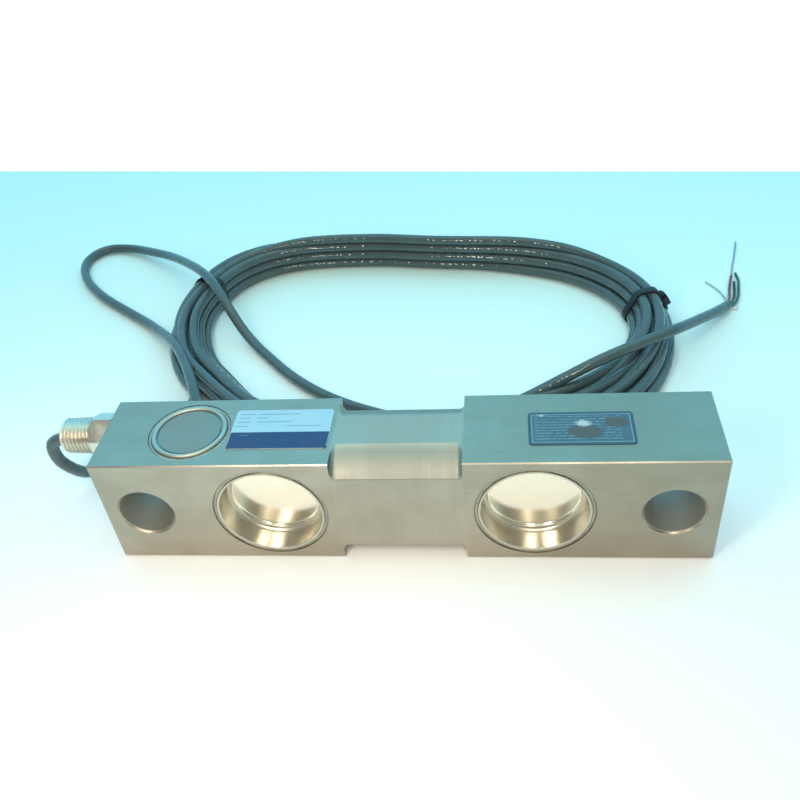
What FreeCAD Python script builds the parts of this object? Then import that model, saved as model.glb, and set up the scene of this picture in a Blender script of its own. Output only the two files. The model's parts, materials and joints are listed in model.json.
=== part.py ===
import FreeCAD, Part
import math
import os

import Sketcher

# Weighing load cell: a double-ended shear beam with a coiled cable
# X runs along the beam, Y from the front face to the rear face and Z up
# The origin is the middle of the bottom face and all sizes are in millimetres

V = FreeCAD.Vector

# A cut that passes right through is this many times as long as the wall
THROUGH = 2

# Trim resistors on the circuit board
RESISTORS = 4

# Each tangent arc of a tube takes this share of the shorter run beside it
ARC_SHARE = 0.45

# Driving sizes: name, value, meaning
SIZES = [
    ("beam_length", 206.4, "length of the steel beam"),
    ("beam_width", 34.1, "front face to rear face"),
    ("beam_height", 44.45, "bottom face to top face"),
    ("edge_bevel", 0.4, "bevel along the outer edges of the beam"),
    ("hole_inset", 14.7, "end hole from the end of the beam"),
    ("hole_radius", 9.65, "end hole"),
    ("hole_bevel", 0.6, "bevel at both mouths of an end hole"),
    ("waist_length", 43.0, "turned seat in the middle of the beam"),
    ("waist_radius", 23.3, "radius of the turned seat"),
    ("waist_fillet", 2.0, "fillet at each end of the turned seat"),
    ("pocket_share", 0.21463, "gauge pocket from the middle, as a share of the beam length"),
    ("pocket_radius", 18.4, "bore of a gauge pocket"),
    ("web_thickness", 10.1, "web between the front and rear pockets"),
    ("weld_radius", 19.9, "outside of the weld groove round a pocket"),
    ("weld_depth", 0.5, "depth of the weld grooves"),
    ("web_hole_radius", 1.2, "hole through the web for the gauge leads"),
    ("web_hole_drop", 12.0, "web hole below the pocket centre"),
    ("cup_clearance", 0.05, "cup rim to pocket bore"),
    ("cup_wall_radius", 17.55, "bright inner wall of a cup"),
    ("cup_sheet", 0.5, "sheet of a cup"),
    ("cup_lip", 0.45, "rounding of the cup mouth"),
    ("cup_step_depth", 8.3, "step of a cup below the face"),
    ("cup_step_fillet", 1.0, "fillet above the step"),
    ("cup_step_edge", 0.4, "rounding of the step edge"),
    ("cup_well_radius", 15.7, "well inside the step"),
    ("cup_depth", 9.7, "cup floor below the face"),
    ("cup_floor_fillet", 0.4, "fillet round the cup floor"),
    ("gauge_length", 13.0, "strain gauge along the beam"),
    ("gauge_width", 9.0, "strain gauge upright"),
    ("gauge_thickness", 0.3, "strain gauge carrier"),
    ("gauge_tab", 1.6, "side of a solder tab"),
    ("gauge_tab_height", 0.35, "solder tab above the carrier"),
    ("lead_wire_radius", 0.8, "gauge leads through the web"),
    ("lead_wire_rise", 0.9, "gauge leads beyond each side of the web"),
    ("cover_share", 0.34884, "wiring cavity from the middle, as a share of the beam length"),
    ("cover_disc_radius", 11.3, "flat middle of the cover"),
    ("cover_radius", 13.0, "outside of the cover"),
    ("cover_thickness", 1.8, "cover below the top face"),
    ("cover_bead", 0.7, "rolled rim of the cover above the top face"),
    ("cover_clearance", 0.05, "cover to its seat"),
    ("cover_groove_radius", 14.3, "outside of the groove round the cover"),
    ("cover_groove_depth", 0.6, "depth of the groove round the cover"),
    ("cavity_radius", 9.5, "wiring cavity under the cover"),
    ("cavity_depth", 13.0, "cavity floor below the top face"),
    ("pad_radius", 6.0, "adhesive pad under the board"),
    ("pad_thickness", 1.2, "adhesive pad"),
    ("board_radius", 8.6, "round circuit board"),
    ("board_thickness", 1.2, "circuit board"),
    ("resistor_length", 3.4, "trim resistor"),
    ("resistor_width", 1.7, "trim resistor"),
    ("resistor_height", 0.9, "trim resistor"),
    ("resistor_pitch", 2.9, "trim resistors side by side"),
    ("gland_inset", 8.85, "conduit fitting in front of the rear face"),
    ("gland_drop", 8.25, "conduit fitting below the top face"),
    ("channel_radius", 2.0, "drilling from the fitting to the pocket"),
    ("cross_radius", 1.5, "drilling between the rear pockets"),
    ("cross_y", 6.5, "cross drilling behind the beam axis"),
    ("spigot_radius", 5.0, "spigot of the fitting in the beam"),
    ("spigot_length", 7.5, "spigot of the fitting in the beam"),
    ("spigot_clearance", 0.05, "spigot to its bore"),
    ("collar_flats", 14.3, "hexagon across flats"),
    ("collar_length", 8.0, "hexagon along its axis"),
    ("collar_trim", 1.2, "hexagon corners cut back at the outer end"),
    ("collar_slope", 1.27, "length of the cut along the hexagon"),
    ("collar_turn", -8.0, "hexagon turned about its axis, degrees"),
    ("thread_radius", 6.75, "pipe thread at the hexagon"),
    ("thread_taper", 0.03125, "pipe thread radius lost per unit length"),
    ("thread_depth", 1.0, "depth of the pipe thread"),
    ("thread_pitch", 1.41, "pitch of the pipe thread"),
    ("thread_turns", 7.5, "turns of the pipe thread"),
    ("thread_flank", 0.42, "foot to crest of a thread, as a share of the pitch"),
    ("thread_flat", 0.1, "crest of a thread cut back, as a share of its depth"),
    ("thread_runout", 0.7, "plain length at each end of the thread"),
    ("fitting_bore", 3.6, "bore radius of the fitting"),
    ("seal_clearance", 0.05, "seal to the fitting and to the cable"),
    ("seal_recess", 1.0, "cable seal inside the outer end of the fitting"),
    ("seal_length", 9.0, "cable seal"),
    ("potting_length", 16.0, "potting from the inner end of the fitting"),
    ("core_radius", 1.3, "bundle of cable cores"),
    ("cable_radius", 2.35, "jacket of the cable"),
    ("coil_length", 107.6, "half length of the coil at its centre line"),
    ("coil_breadth", 71.0, "half breadth of the coil at its centre line"),
    ("coil_end_radius", 62.5, "end bend of the coil at its centre line"),
    ("coil_width", 20.4, "coiled bundle, inside to outside"),
    ("coil_height", 12.5, "coiled bundle, bottom to top"),
    ("coil_round", 3.4, "rounding of the bundle"),
    ("coil_stub", 24.0, "cable end inside the bundle to the end of its bare run"),
    ("coil_x", -7.7, "middle of the coil"),
    ("coil_y", 114.2, "middle of the coil"),
    ("coil_turn", -9.3, "coil turned about Z, degrees"),
    ("tie_thickness", 0.9, "band of a cable tie"),
    ("tie_width", 3.6, "band of a cable tie"),
    ("tie_clearance", 0.1, "band to bundle"),
    ("tie_head_length", 5.0, "head of a cable tie along its band"),
    ("tie_head_height", 3.0, "head of a cable tie off the bundle"),
    ("tie_head_width", 4.8, "head of a cable tie across its band"),
    ("tie_left_angle", 161.0, "left tie about the left end bend, degrees"),
    ("tie_right_angle", 26.4, "right tie about the right end bend, degrees"),
    ("loom_radius", 0.45, "bundle of gauge leads"),
    ("conductor_radius", 0.6, "insulated conductor"),
    ("conductor_spread", 1.35, "conductor from the cable axis"),
    ("strand_radius", 0.3, "shield strand"),
    ("wire_straight", 3.0, "straight start of each stripped wire"),
    ("plate_thickness", 0.25, "labels on the top face"),
    ("plate_corner", 1.4, "corner rounding of the labels"),
    ("nameplate_length", 34.3, "left label along the beam"),
    ("nameplate_width", 19.9, "left label across the beam"),
    ("label_gap", 0.5, "left label from the groove round the cover"),
    ("nameplate_y", 0.65, "middle of the left label"),
    ("rating_length", 33.8, "right label along the beam"),
    ("rating_width", 15.7, "right label across the beam"),
    ("rating_inset", 43.7, "middle of the right label from the end of the beam"),
    ("rating_y", -1.0, "middle of the right label"),
]

# Routes of the cable on the floor, as corner points of straight runs
LEAD_ROUTE = [(-125.2, 26.0, 3.0), (-117.5, 36.5, 2.5), (-107.5, 46.5, 2.5)]
LEAD_END = (-102.5, 60.0, 2.5)
TAIL_START = (-131.0, 117.2, 5.2)
TAIL_ROUTE = [
    (-140.6, 127.7, 2.5), (-160.0, 142.5, 2.4), (-178.0, 157.5, 2.4), (-193.5, 176.0, 2.4),
    (-201.0, 195.5, 2.4), (-193.0, 209.5, 2.4), (-176.0, 207.5, 2.8), (-158.5, 195.0, 6.0),
    (-141.0, 178.0, 11.5), (-124.0, 160.0, 17.2), (-103.5, 137.5, 17.2), (-92.5, 121.5, 11.0),
    (-85.5, 112.0, 4.4), (-74.0, 99.4, 2.4), (-58.0, 82.0, 2.4), (-40.5, 68.8, 2.4),
    (-21.0, 59.5, 2.4), (0.0, 56.0, 2.4), (20.0, 57.2, 2.6), (40.0, 63.5, 4.6),
    (58.0, 69.5, 9.5), (76.0, 74.3, 16.8), (109.0, 94.6, 16.8), (119.5, 108.0, 10.0),
    (127.5, 118.8, 4.0),
]
TAIL_END = (136.0, 129.2, 2.4)

# Routes of the stripped wires on the floor beyond the end of the jacket
WIRE_ROUTES = {
    "conductor_red": [(139.2, 138.0, 1.5), (140.6, 145.2, 0.65), (142.2, 151.6, 0.65), (144.2, 158.5, 0.65)],
    "conductor_black": [(141.0, 137.0, 1.6), (143.0, 144.6, 0.65), (144.4, 153.0, 0.65)],
    "conductor_green": [(141.6, 134.6, 1.2), (144.0, 140.6, 0.65), (145.6, 148.4, 0.65), (146.9, 155.0, 0.65),
                        (146.5, 160.6, 0.65)],
    "conductor_white": [(141.8, 130.6, 0.65)],
    "shield_strand": [(137.6, 135.2, 1.2), (137.4, 141.5, 0.35), (135.2, 148.6, 0.35), (131.4, 154.2, 0.35)],
}
WIRE_ANGLES = {
    "conductor_red": 125,
    "conductor_black": 60,
    "conductor_green": 0,
    "conductor_white": -75,
    "shield_strand": 170,
}
RED_CORE_ROUTE = [(146.4, 167.5, 0.45), (149.6, 177.6, 0.4), (153.0, 191.4, 0.4)]

# Offsets of the cable from the tip of the conduit fitting where it bends down
LEAD_CURL = [(-6.2, 0.0, 0.0), (-8.6, 0.4, -10.8), (-6.5, 2.8, -18.8), (-5.2, 8.8, -27.6)]

# Offsets of the gauge leads from a rear web face, the mouth of the channel and the cavity
LOOM_LEFT = {
    "left_web": [(-5.7, 0.7, 6.4), (-7.6, 0.7, 11.0)],
    "channel": [(0.8, -1.5, -0.8)],
    "cavity": [(12.0, -0.9, -0.6), (6.5, -0.8, -0.7), (2.5, -2.4, -1.75)],
}
LOOM_RIGHT = {
    "right_web": [(-7.7, 0.7, 1.2), (-13.7, 0.75, 0.3), (-18.9, 1.45, 0.0)],
    "left_web": [(18.9, 1.45, 0.05), (13.9, 0.75, 0.8), (8.3, 0.7, 6.4), (0.3, 0.7, 10.8), (-6.1, 0.7, 12.4)],
    "channel": [(1.6, -1.1, 0.7)],
    "cavity": [(12.0, -0.3, 1.1), (6.5, -0.4, 1.0), (2.5, -2.0, 0.2)],
}
CORE_END = [(-6.0, 0.0, 0.0), (-2.5, -2.2, -1.0)]


class Size:
    """A number together with the sheet formula it comes from."""

    def __init__(self, value, text):
        self.value = value
        self.text = text

    @staticmethod
    def of(other):
        return other if isinstance(other, Size) else Size(float(other), repr(float(other)))

    def join(self, sign, other, value):
        return Size(value, "(%s %s %s)" % (self.text, sign, other.text))

    def __add__(self, other):
        other = Size.of(other)
        return self.join("+", other, self.value + other.value)

    def __sub__(self, other):
        other = Size.of(other)
        return self.join("-", other, self.value - other.value)

    def __mul__(self, other):
        other = Size.of(other)
        return self.join("*", other, self.value * other.value)

    def __truediv__(self, other):
        other = Size.of(other)
        return self.join("/", other, self.value / other.value)

    def __neg__(self):
        return Size(0.0, "0.0") - self


doc = FreeCAD.newDocument("load_cell")
sheet = doc.addObject("Spreadsheet::Sheet", "sizes")
DIM = {}
for row, (alias, number, meaning) in enumerate(SIZES, start=1):
    sheet.set("A%d" % row, alias)
    sheet.set("B%d" % row, repr(number))
    sheet.set("C%d" % row, meaning)
    sheet.setAlias("B%d" % row, alias)
    DIM[alias] = Size(number, "sizes." + alias)
doc.recompute()
ZERO = Size.of(0)

# Places that follow from the driving sizes
DIM["hole_offset"] = DIM["beam_length"] / 2 - DIM["hole_inset"]
DIM["pocket_offset"] = DIM["beam_length"] * DIM["pocket_share"]
DIM["cover_offset"] = DIM["beam_length"] * DIM["cover_share"]
DIM["gland_y"] = DIM["beam_width"] / 2 - DIM["gland_inset"]
DIM["gland_z"] = DIM["beam_height"] - DIM["gland_drop"]
cover_edge = DIM["cover_groove_radius"] - DIM["cover_offset"]
DIM["nameplate_x"] = cover_edge + DIM["label_gap"] + DIM["nameplate_length"] / 2
DIM["rating_x"] = DIM["beam_length"] / 2 - DIM["rating_inset"]


def bind(item, prop, size):
    """Tie a property of a document object to the sheet."""
    item.setExpression(prop, size.text)


def new_body(label, base=(ZERO, ZERO, ZERO), axis=V(0, 0, 1), angle=ZERO):
    """Start a body whose place is tied to the sheet."""
    body = doc.addObject("PartDesign::Body", label)
    body.Label = label
    body.Placement = FreeCAD.Placement(V(*[size.value for size in base]), FreeCAD.Rotation(axis, angle.value))
    for letter, size in zip("xyz", base):
        bind(body, "Placement.Base." + letter, size)
    if angle is not ZERO:
        body.setExpression("Placement.Rotation.Angle", angle.text + " * 1 deg")
    return body


def new_sketch(body, name, plane, height=ZERO):
    """Put a sketch on one of the body's origin planes, raised along its normal."""
    sketch = body.newObject("Sketcher::SketchObject", body.Label + "_" + name)
    origin_plane = [item for item in body.Origin.OriginFeatures if item.Role == plane][0]
    sketch.AttachmentSupport = [(origin_plane, "")]
    sketch.MapMode = "FlatFace"
    sketch.AttachmentOffset = FreeCAD.Placement(V(0, 0, height.value), FreeCAD.Rotation())
    bind(sketch, "AttachmentOffset.Base.z", height)
    return sketch


def constrain(sketch, kind, geometry, point, size):
    """Add one dimension to a sketch and tie it to the sheet."""
    if point is None:
        index = sketch.addConstraint(Sketcher.Constraint(kind, geometry, size.value))
    else:
        index = sketch.addConstraint(Sketcher.Constraint(kind, geometry, point, size.value))
    bind(sketch, "Constraints[%d]" % index, size)


def place_point(sketch, geometry, point, u, v):
    """Fix a point of a sketch by its two coordinates."""
    constrain(sketch, "DistanceX", geometry, point, u)
    constrain(sketch, "DistanceY", geometry, point, v)


def circle(sketch, u, v, radius):
    """Draw a circle."""
    index = sketch.addGeometry(Part.Circle(V(u.value, v.value, 0), V(0, 0, 1), radius.value), False)
    place_point(sketch, index, 3, u, v)
    constrain(sketch, "Radius", index, None, radius)


def outline(sketch, corners):
    """Draw a closed outline of lines and arcs.

    Each corner is (u, v) or (u, v, centre_u, centre_v, radius); the longer form
    leaves the corner along an arc about that centre.
    """
    first = sketch.GeometryCount
    ends = []
    for index, corner in enumerate(corners):
        target = corners[(index + 1) % len(corners)]
        start = V(corner[0].value, corner[1].value, 0)
        end = V(target[0].value, target[1].value, 0)
        if len(corner) == 2:
            sketch.addGeometry(Part.LineSegment(start, end), False)
            ends.append((1, 2))
            continue
        centre = V(corner[2].value, corner[3].value, 0)
        leave = math.atan2(start.y - centre.y, start.x - centre.x)
        reach = math.atan2(end.y - centre.y, end.x - centre.x)
        sweep = (reach - leave) % (2 * math.pi)
        ring = Part.Circle(centre, V(0, 0, 1), corner[4].value)
        if sweep < math.pi:
            sketch.addGeometry(Part.ArcOfCircle(ring, leave, leave + sweep), False)
            ends.append((1, 2))
        else:
            sketch.addGeometry(Part.ArcOfCircle(ring, reach, reach + 2 * math.pi - sweep), False)
            ends.append((2, 1))
    for index, corner in enumerate(corners):
        after = (index + 1) % len(corners)
        here, there = first + index, first + after
        joint = Sketcher.Constraint("Coincident", here, ends[index][1], there, ends[after][0])
        sketch.addConstraint(joint)
    for index, corner in enumerate(corners):
        place_point(sketch, first + index, ends[index][0], corner[0], corner[1])
        if len(corner) > 2:
            constrain(sketch, "Radius", first + index, None, corner[4])


def rectangle(sketch, centre_u, centre_v, length, width):
    """Draw a rectangle about its middle."""
    left, right = centre_u - length / 2, centre_u + length / 2
    low, high = centre_v - width / 2, centre_v + width / 2
    outline(sketch, [(left, low), (right, low), (right, high), (left, high)])


def extrude(body, kind, sketch, length, reverse=False, midplane=False):
    """Pad or pocket a sketch by a length tied to the sheet."""
    feature = body.newObject("PartDesign::" + kind, sketch.Label + "_" + kind.lower())
    feature.Profile = sketch
    feature.Length = length.value
    bind(feature, "Length", length)
    feature.Reversed = reverse
    if midplane:
        feature.Midplane = True
    return feature


def turn(body, kind, sketch, axis):
    """Revolve or groove a sketch right round one of its axes."""
    feature = body.newObject("PartDesign::" + kind, sketch.Label + "_" + kind.lower())
    feature.Profile = sketch
    feature.ReferenceAxis = (sketch, [axis])
    feature.Angle = 360.0
    return feature


def dress(body, kind, feature, prop, size, wanted):
    """Fillet or chamfer the edges of a feature that pass a test."""
    doc.recompute()
    names = ["Edge%d" % n for n, edge in enumerate(feature.Shape.Edges, start=1) if wanted(edge)]
    result = body.newObject("PartDesign::" + kind, body.Label + "_" + kind.lower())
    result.Base = (feature, names)
    setattr(result, prop, size.value)
    bind(result, prop, size)
    return result


def flat_edge(edge):
    """Tell whether an edge stays at one height."""
    box = edge.BoundBox
    return box.ZLength < 1e-6


def upright_edge(edge):
    """Tell whether an edge is a straight upright one."""
    box = edge.BoundBox
    return box.XLength < 1e-6 and box.YLength < 1e-6


def tube(label, points, radius):
    """Sweep a round section along straight runs joined by tangent arcs."""
    corners = [V(*point) for point in points]
    edges = []
    radii = []
    here = corners[0]
    for before, corner, after in zip(corners, corners[1:], corners[2:]):
        arrive = corner - before
        leave = after - corner
        half_turn = arrive.getAngle(leave) / 2
        reach = ARC_SHARE * min(arrive.Length, leave.Length)
        bend = reach / math.tan(half_turn)
        enter = corner - arrive.normalize() * reach
        leave.normalize()
        exit_point = corner + leave * reach
        inward = (leave - arrive).normalize()
        middle = corner + inward * (bend / math.cos(half_turn) - bend)
        edges.append(Part.LineSegment(here, enter).toShape())
        edges.append(Part.Arc(enter, middle, exit_point).toShape())
        radii.append(bend)
        here = exit_point
    edges.append(Part.LineSegment(here, corners[-1]).toShape())
    path = Part.Wire(edges)
    start = corners[1] - corners[0]
    section = Part.Wire([Part.Circle(corners[0], start, radius.value).toShape()])
    item = doc.addObject("Part::Feature", label)
    item.Label = label
    item.Shape = path.makePipeShell([section], True, False)
    wanted = math.pi * radius.value ** 2 * path.Length
    smallest = min(radii) if radii else 0.0
    print("%s length %.1f, smallest bend %.1f, volume ratio %.4f"
          % (label, path.Length, smallest, item.Shape.Volume / wanted))
    return item


def build_beam():
    """Steel beam with its seat, holes, pockets, cavity and drillings."""
    body = new_body("beam_body")
    half_length = DIM["beam_length"] / 2
    half_width = DIM["beam_width"] / 2
    axis_height = DIM["beam_height"] / 2

    bar = new_sketch(body, "bar", "XY_Plane")
    rectangle(bar, ZERO, ZERO, DIM["beam_length"], DIM["beam_width"])
    block = extrude(body, "Pad", bar, DIM["beam_height"])
    dress(body, "Chamfer", block, "Size", DIM["edge_bevel"], lambda edge: True)

    seat = new_sketch(body, "seat", "XZ_Plane")
    line = seat.addGeometry(Part.LineSegment(V(-1, axis_height.value, 0), V(1, axis_height.value, 0)), True)
    place_point(seat, line, 1, Size.of(-1), axis_height)
    place_point(seat, line, 2, Size.of(1), axis_height)
    end = DIM["waist_length"] / 2
    fillet = DIM["waist_fillet"]
    low = axis_height + DIM["waist_radius"]
    high = axis_height + DIM["beam_height"]
    outline(seat, [
        (-end, high),
        (-end, low + fillet, fillet - end, low + fillet, fillet),
        (fillet - end, low),
        (end - fillet, low, end - fillet, low + fillet, fillet),
        (end, low + fillet),
        (end, high),
    ])
    turn(body, "Groove", seat, "Axis0")

    holes = new_sketch(body, "holes", "XZ_Plane")
    for side in (-1, 1):
        circle(holes, DIM["hole_offset"] * side, axis_height, DIM["hole_radius"])
    bores = extrude(body, "Pocket", holes, DIM["beam_width"] * THROUGH, midplane=True)

    def hole_mouth(edge):
        return edge.Closed and abs(edge.Curve.Radius - DIM["hole_radius"].value) < 1e-6

    dress(body, "Chamfer", bores, "Size", DIM["hole_bevel"], hole_mouth)

    for face, plane_height in (("front", half_width), ("rear", -half_width)):
        away = face == "rear"
        depth = (DIM["beam_width"] - DIM["web_thickness"]) / 2
        pockets = new_sketch(body, face + "_pockets", "XZ_Plane", plane_height)
        welds = new_sketch(body, face + "_welds", "XZ_Plane", plane_height)
        for side in (-1, 1):
            circle(pockets, DIM["pocket_offset"] * side, axis_height, DIM["pocket_radius"])
            circle(welds, DIM["pocket_offset"] * side, axis_height, DIM["weld_radius"])
        extrude(body, "Pocket", pockets, depth, reverse=away)
        extrude(body, "Pocket", welds, DIM["weld_depth"], reverse=away)

    web_holes = new_sketch(body, "web_holes", "XZ_Plane")
    web_hole_level = axis_height - DIM["web_hole_drop"]
    for side in (-1, 1):
        circle(web_holes, DIM["pocket_offset"] * side, web_hole_level, DIM["web_hole_radius"])
    extrude(body, "Pocket", web_holes, DIM["web_thickness"] * THROUGH, midplane=True)

    for name, radius, depth in (
        ("cover_groove", DIM["cover_groove_radius"], DIM["cover_groove_depth"]),
        ("cover_seat", DIM["cover_radius"] + DIM["cover_clearance"], DIM["cover_thickness"]),
        ("cavity", DIM["cavity_radius"], DIM["cavity_depth"]),
    ):
        recess = new_sketch(body, name, "XY_Plane", DIM["beam_height"])
        circle(recess, -DIM["cover_offset"], ZERO, radius)
        extrude(body, "Pocket", recess, depth)

    spigot = new_sketch(body, "spigot_bore", "YZ_Plane", -half_length)
    circle(spigot, DIM["gland_y"], DIM["gland_z"], DIM["spigot_radius"] + DIM["spigot_clearance"])
    extrude(body, "Pocket", spigot, DIM["spigot_length"] + DIM["spigot_clearance"], reverse=True)

    channel = new_sketch(body, "channel", "YZ_Plane", -half_length)
    circle(channel, DIM["gland_y"], DIM["gland_z"], DIM["channel_radius"])
    extrude(body, "Pocket", channel, half_length - DIM["pocket_offset"], reverse=True)

    cross = new_sketch(body, "cross_drilling", "YZ_Plane")
    circle(cross, DIM["cross_y"], axis_height, DIM["cross_radius"])
    extrude(body, "Pocket", cross, DIM["pocket_offset"] * 2 - DIM["pocket_radius"], midplane=True)
    return body


def build_cup(label, side, front):
    """Bright stepped sealing cup pressed into a gauge pocket."""
    facing = -1 if front else 1
    place = (DIM["pocket_offset"] * side, DIM["beam_width"] / 2 * facing, DIM["beam_height"] / 2)
    body = new_body(label, place, V(0, 0, 1), ZERO if front else Size.of(180))
    rim = DIM["pocket_radius"] - DIM["cup_clearance"]
    wall = DIM["cup_wall_radius"]
    lip = DIM["cup_lip"]
    sheet_gauge = DIM["cup_sheet"]
    step = DIM["cup_step_depth"]
    step_fillet = DIM["cup_step_fillet"]
    step_edge = DIM["cup_step_edge"]
    well = DIM["cup_well_radius"]
    floor = DIM["cup_depth"]
    floor_fillet = DIM["cup_floor_fillet"]
    profile = new_sketch(body, "profile", "XY_Plane")
    outline(profile, [
        (rim, ZERO),
        (wall + lip, ZERO, wall + lip, lip, lip),
        (wall, lip),
        (wall, step - step_fillet, wall - step_fillet, step - step_fillet, step_fillet),
        (wall - step_fillet, step),
        (well + step_edge, step, well + step_edge, step + step_edge, step_edge),
        (well, step + step_edge),
        (well, floor - floor_fillet, well - floor_fillet, floor - floor_fillet, floor_fillet),
        (well - floor_fillet, floor),
        (ZERO, floor),
        (ZERO, floor + sheet_gauge),
        (well - floor_fillet, floor + sheet_gauge, well - floor_fillet, floor - floor_fillet,
         floor_fillet + sheet_gauge),
        (well + sheet_gauge, floor - floor_fillet),
        (well + sheet_gauge, step + sheet_gauge),
        (wall - step_fillet, step + sheet_gauge, wall - step_fillet, step - step_fillet,
         step_fillet + sheet_gauge),
        (wall + sheet_gauge, step - step_fillet),
        (wall + sheet_gauge, sheet_gauge),
        (rim, sheet_gauge),
    ])
    turn(body, "Revolution", profile, "V_Axis")
    return body


def build_gauge(label, side, front):
    """Foil gauge with four solder tabs on the web of a pocket."""
    facing = -1 if front else 1
    place = (DIM["pocket_offset"] * side, DIM["web_thickness"] / 2 * facing, DIM["beam_height"] / 2)
    body = new_body(label, place, V(0, 0, 1), ZERO if front else Size.of(180))
    carrier = new_sketch(body, "carrier", "XZ_Plane")
    rectangle(carrier, ZERO, ZERO, DIM["gauge_length"], DIM["gauge_width"])
    extrude(body, "Pad", carrier, DIM["gauge_thickness"])
    tabs = new_sketch(body, "tabs", "XZ_Plane", DIM["gauge_thickness"])
    for along in (-1, 1):
        for up in (-1, 1):
            tab_u = (DIM["gauge_length"] / 2 - DIM["gauge_tab"]) * along
            tab_v = (DIM["gauge_width"] / 2 - DIM["gauge_tab"]) * up
            rectangle(tabs, tab_u, tab_v, DIM["gauge_tab"], DIM["gauge_tab"])
    extrude(body, "Pad", tabs, DIM["gauge_tab_height"])
    return body


def build_web_leads(label, side):
    """Straight bundle of gauge leads through the web."""
    place = (DIM["pocket_offset"] * side, ZERO, DIM["beam_height"] / 2 - DIM["web_hole_drop"])
    body = new_body(label, place)
    section = new_sketch(body, "section", "XZ_Plane")
    circle(section, ZERO, ZERO, DIM["lead_wire_radius"])
    extrude(body, "Pad", section, DIM["web_thickness"] + DIM["lead_wire_rise"] * 2, midplane=True)
    return body


def build_cover():
    """Round cover of the wiring cavity with a rolled rim."""
    body = new_body("cavity_cover", (-DIM["cover_offset"], ZERO, DIM["beam_height"]))
    profile = new_sketch(body, "profile", "XZ_Plane")
    inner = DIM["cover_disc_radius"]
    outer = DIM["cover_radius"]
    rim_round = (outer - inner) / 2
    crown = inner + rim_round
    base = DIM["cover_bead"] - rim_round
    outline(profile, [
        (ZERO, ZERO),
        (ZERO, -DIM["cover_thickness"]),
        (outer, -DIM["cover_thickness"]),
        (outer, base, crown, base, rim_round),
        (crown, DIM["cover_bead"], crown, base, rim_round),
        (inner, base),
        (inner, base - DIM["cover_groove_depth"] / 2),
        (inner - DIM["cover_groove_depth"], base - DIM["cover_groove_depth"] / 2),
        (inner - DIM["cover_groove_depth"], ZERO),
    ])
    turn(body, "Revolution", profile, "V_Axis")
    return body


def build_cavity_parts():
    """Adhesive pad, circuit board and trim resistors under the cover."""
    floor = DIM["beam_height"] - DIM["cavity_depth"]
    board_floor = floor + DIM["pad_thickness"]
    board_top = board_floor + DIM["board_thickness"]
    made = []
    for label, height, radius, thickness in (
        ("board_pad", floor, DIM["pad_radius"], DIM["pad_thickness"]),
        ("circuit_board", board_floor, DIM["board_radius"], DIM["board_thickness"]),
    ):
        body = new_body(label, (-DIM["cover_offset"], ZERO, height))
        disc = new_sketch(body, "disc", "XY_Plane")
        circle(disc, ZERO, ZERO, radius)
        extrude(body, "Pad", disc, thickness)
        made.append(body)
    resistors = []
    for number in range(RESISTORS):
        item = doc.addObject("Part::Box", "trim_resistor_%d" % number)
        bind(item, "Length", DIM["resistor_length"])
        bind(item, "Width", DIM["resistor_width"])
        bind(item, "Height", DIM["resistor_height"])
        bind(item, "Placement.Base.x", -DIM["cover_offset"] - DIM["resistor_length"] / 2)
        row_y = DIM["resistor_pitch"] * (number - RESISTORS / 2) - DIM["resistor_width"] / 2
        bind(item, "Placement.Base.y", row_y)
        bind(item, "Placement.Base.z", board_top)
        resistors.append(item)
    group = doc.addObject("Part::Compound", "trim_resistors")
    group.Label = "trim_resistors"
    group.Links = resistors
    made.append(group)
    return made


def build_fitting():
    """Hexagon conduit fitting with a tapered pipe thread."""
    place = (-DIM["beam_length"] / 2, DIM["gland_y"], DIM["gland_z"])
    body = new_body("conduit_fitting", place, V(0, 1, 0), Size.of(-90))
    collar = DIM["collar_length"]
    tip = collar + fitting_length()

    hexagon = new_sketch(body, "hexagon", "XY_Plane")
    corner_radius = DIM["collar_flats"] / math.sqrt(3)
    points = []
    for number in range(6):
        angle = math.radians(60 * number + DIM["collar_turn"].value)
        points.append((corner_radius * math.cos(angle), corner_radius * math.sin(angle)))
    outline(hexagon, points)
    extrude(body, "Pad", hexagon, collar)

    trim = new_sketch(body, "corner_trim", "XZ_Plane")
    outline(trim, [
        (corner_radius - DIM["collar_trim"], collar),
        (corner_radius + DIM["collar_trim"], collar - DIM["collar_slope"]),
        (corner_radius + DIM["collar_trim"], collar),
    ])
    turn(body, "Groove", trim, "V_Axis")

    thread = new_sketch(body, "thread", "XZ_Plane")
    runout = DIM["thread_runout"]
    pitch = DIM["thread_pitch"]
    depth = DIM["thread_depth"]
    turns = int(DIM["thread_turns"].value)

    def crest(height):
        return DIM["thread_radius"] - DIM["thread_taper"] * (height - collar)

    profile = [(ZERO, collar), (crest(collar) - depth, collar)]
    for number in range(turns):
        foot = collar + runout + pitch * number
        profile.append((crest(foot) - depth, foot))
        top = crest(foot) - depth * DIM["thread_flat"]
        flank = pitch * DIM["thread_flank"]
        profile.append((top, foot + flank))
        profile.append((top, foot + pitch - flank))
    last = collar + runout + pitch * turns
    profile.append((crest(last) - depth, last))
    profile.append((crest(tip) - depth, tip))
    profile.append((ZERO, tip))
    outline(thread, profile)
    turn(body, "Revolution", thread, "V_Axis")

    spigot = new_sketch(body, "spigot", "XY_Plane")
    circle(spigot, ZERO, ZERO, DIM["spigot_radius"])
    extrude(body, "Pad", spigot, DIM["spigot_length"], reverse=True)

    bore = new_sketch(body, "bore", "XY_Plane")
    circle(bore, ZERO, ZERO, DIM["fitting_bore"])
    extrude(body, "Pocket", bore, tip * THROUGH * 2, midplane=True)
    return body


def fitting_length():
    """Threaded length of the conduit fitting."""
    return DIM["thread_pitch"] * DIM["thread_turns"] + DIM["thread_runout"] * 2


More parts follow.
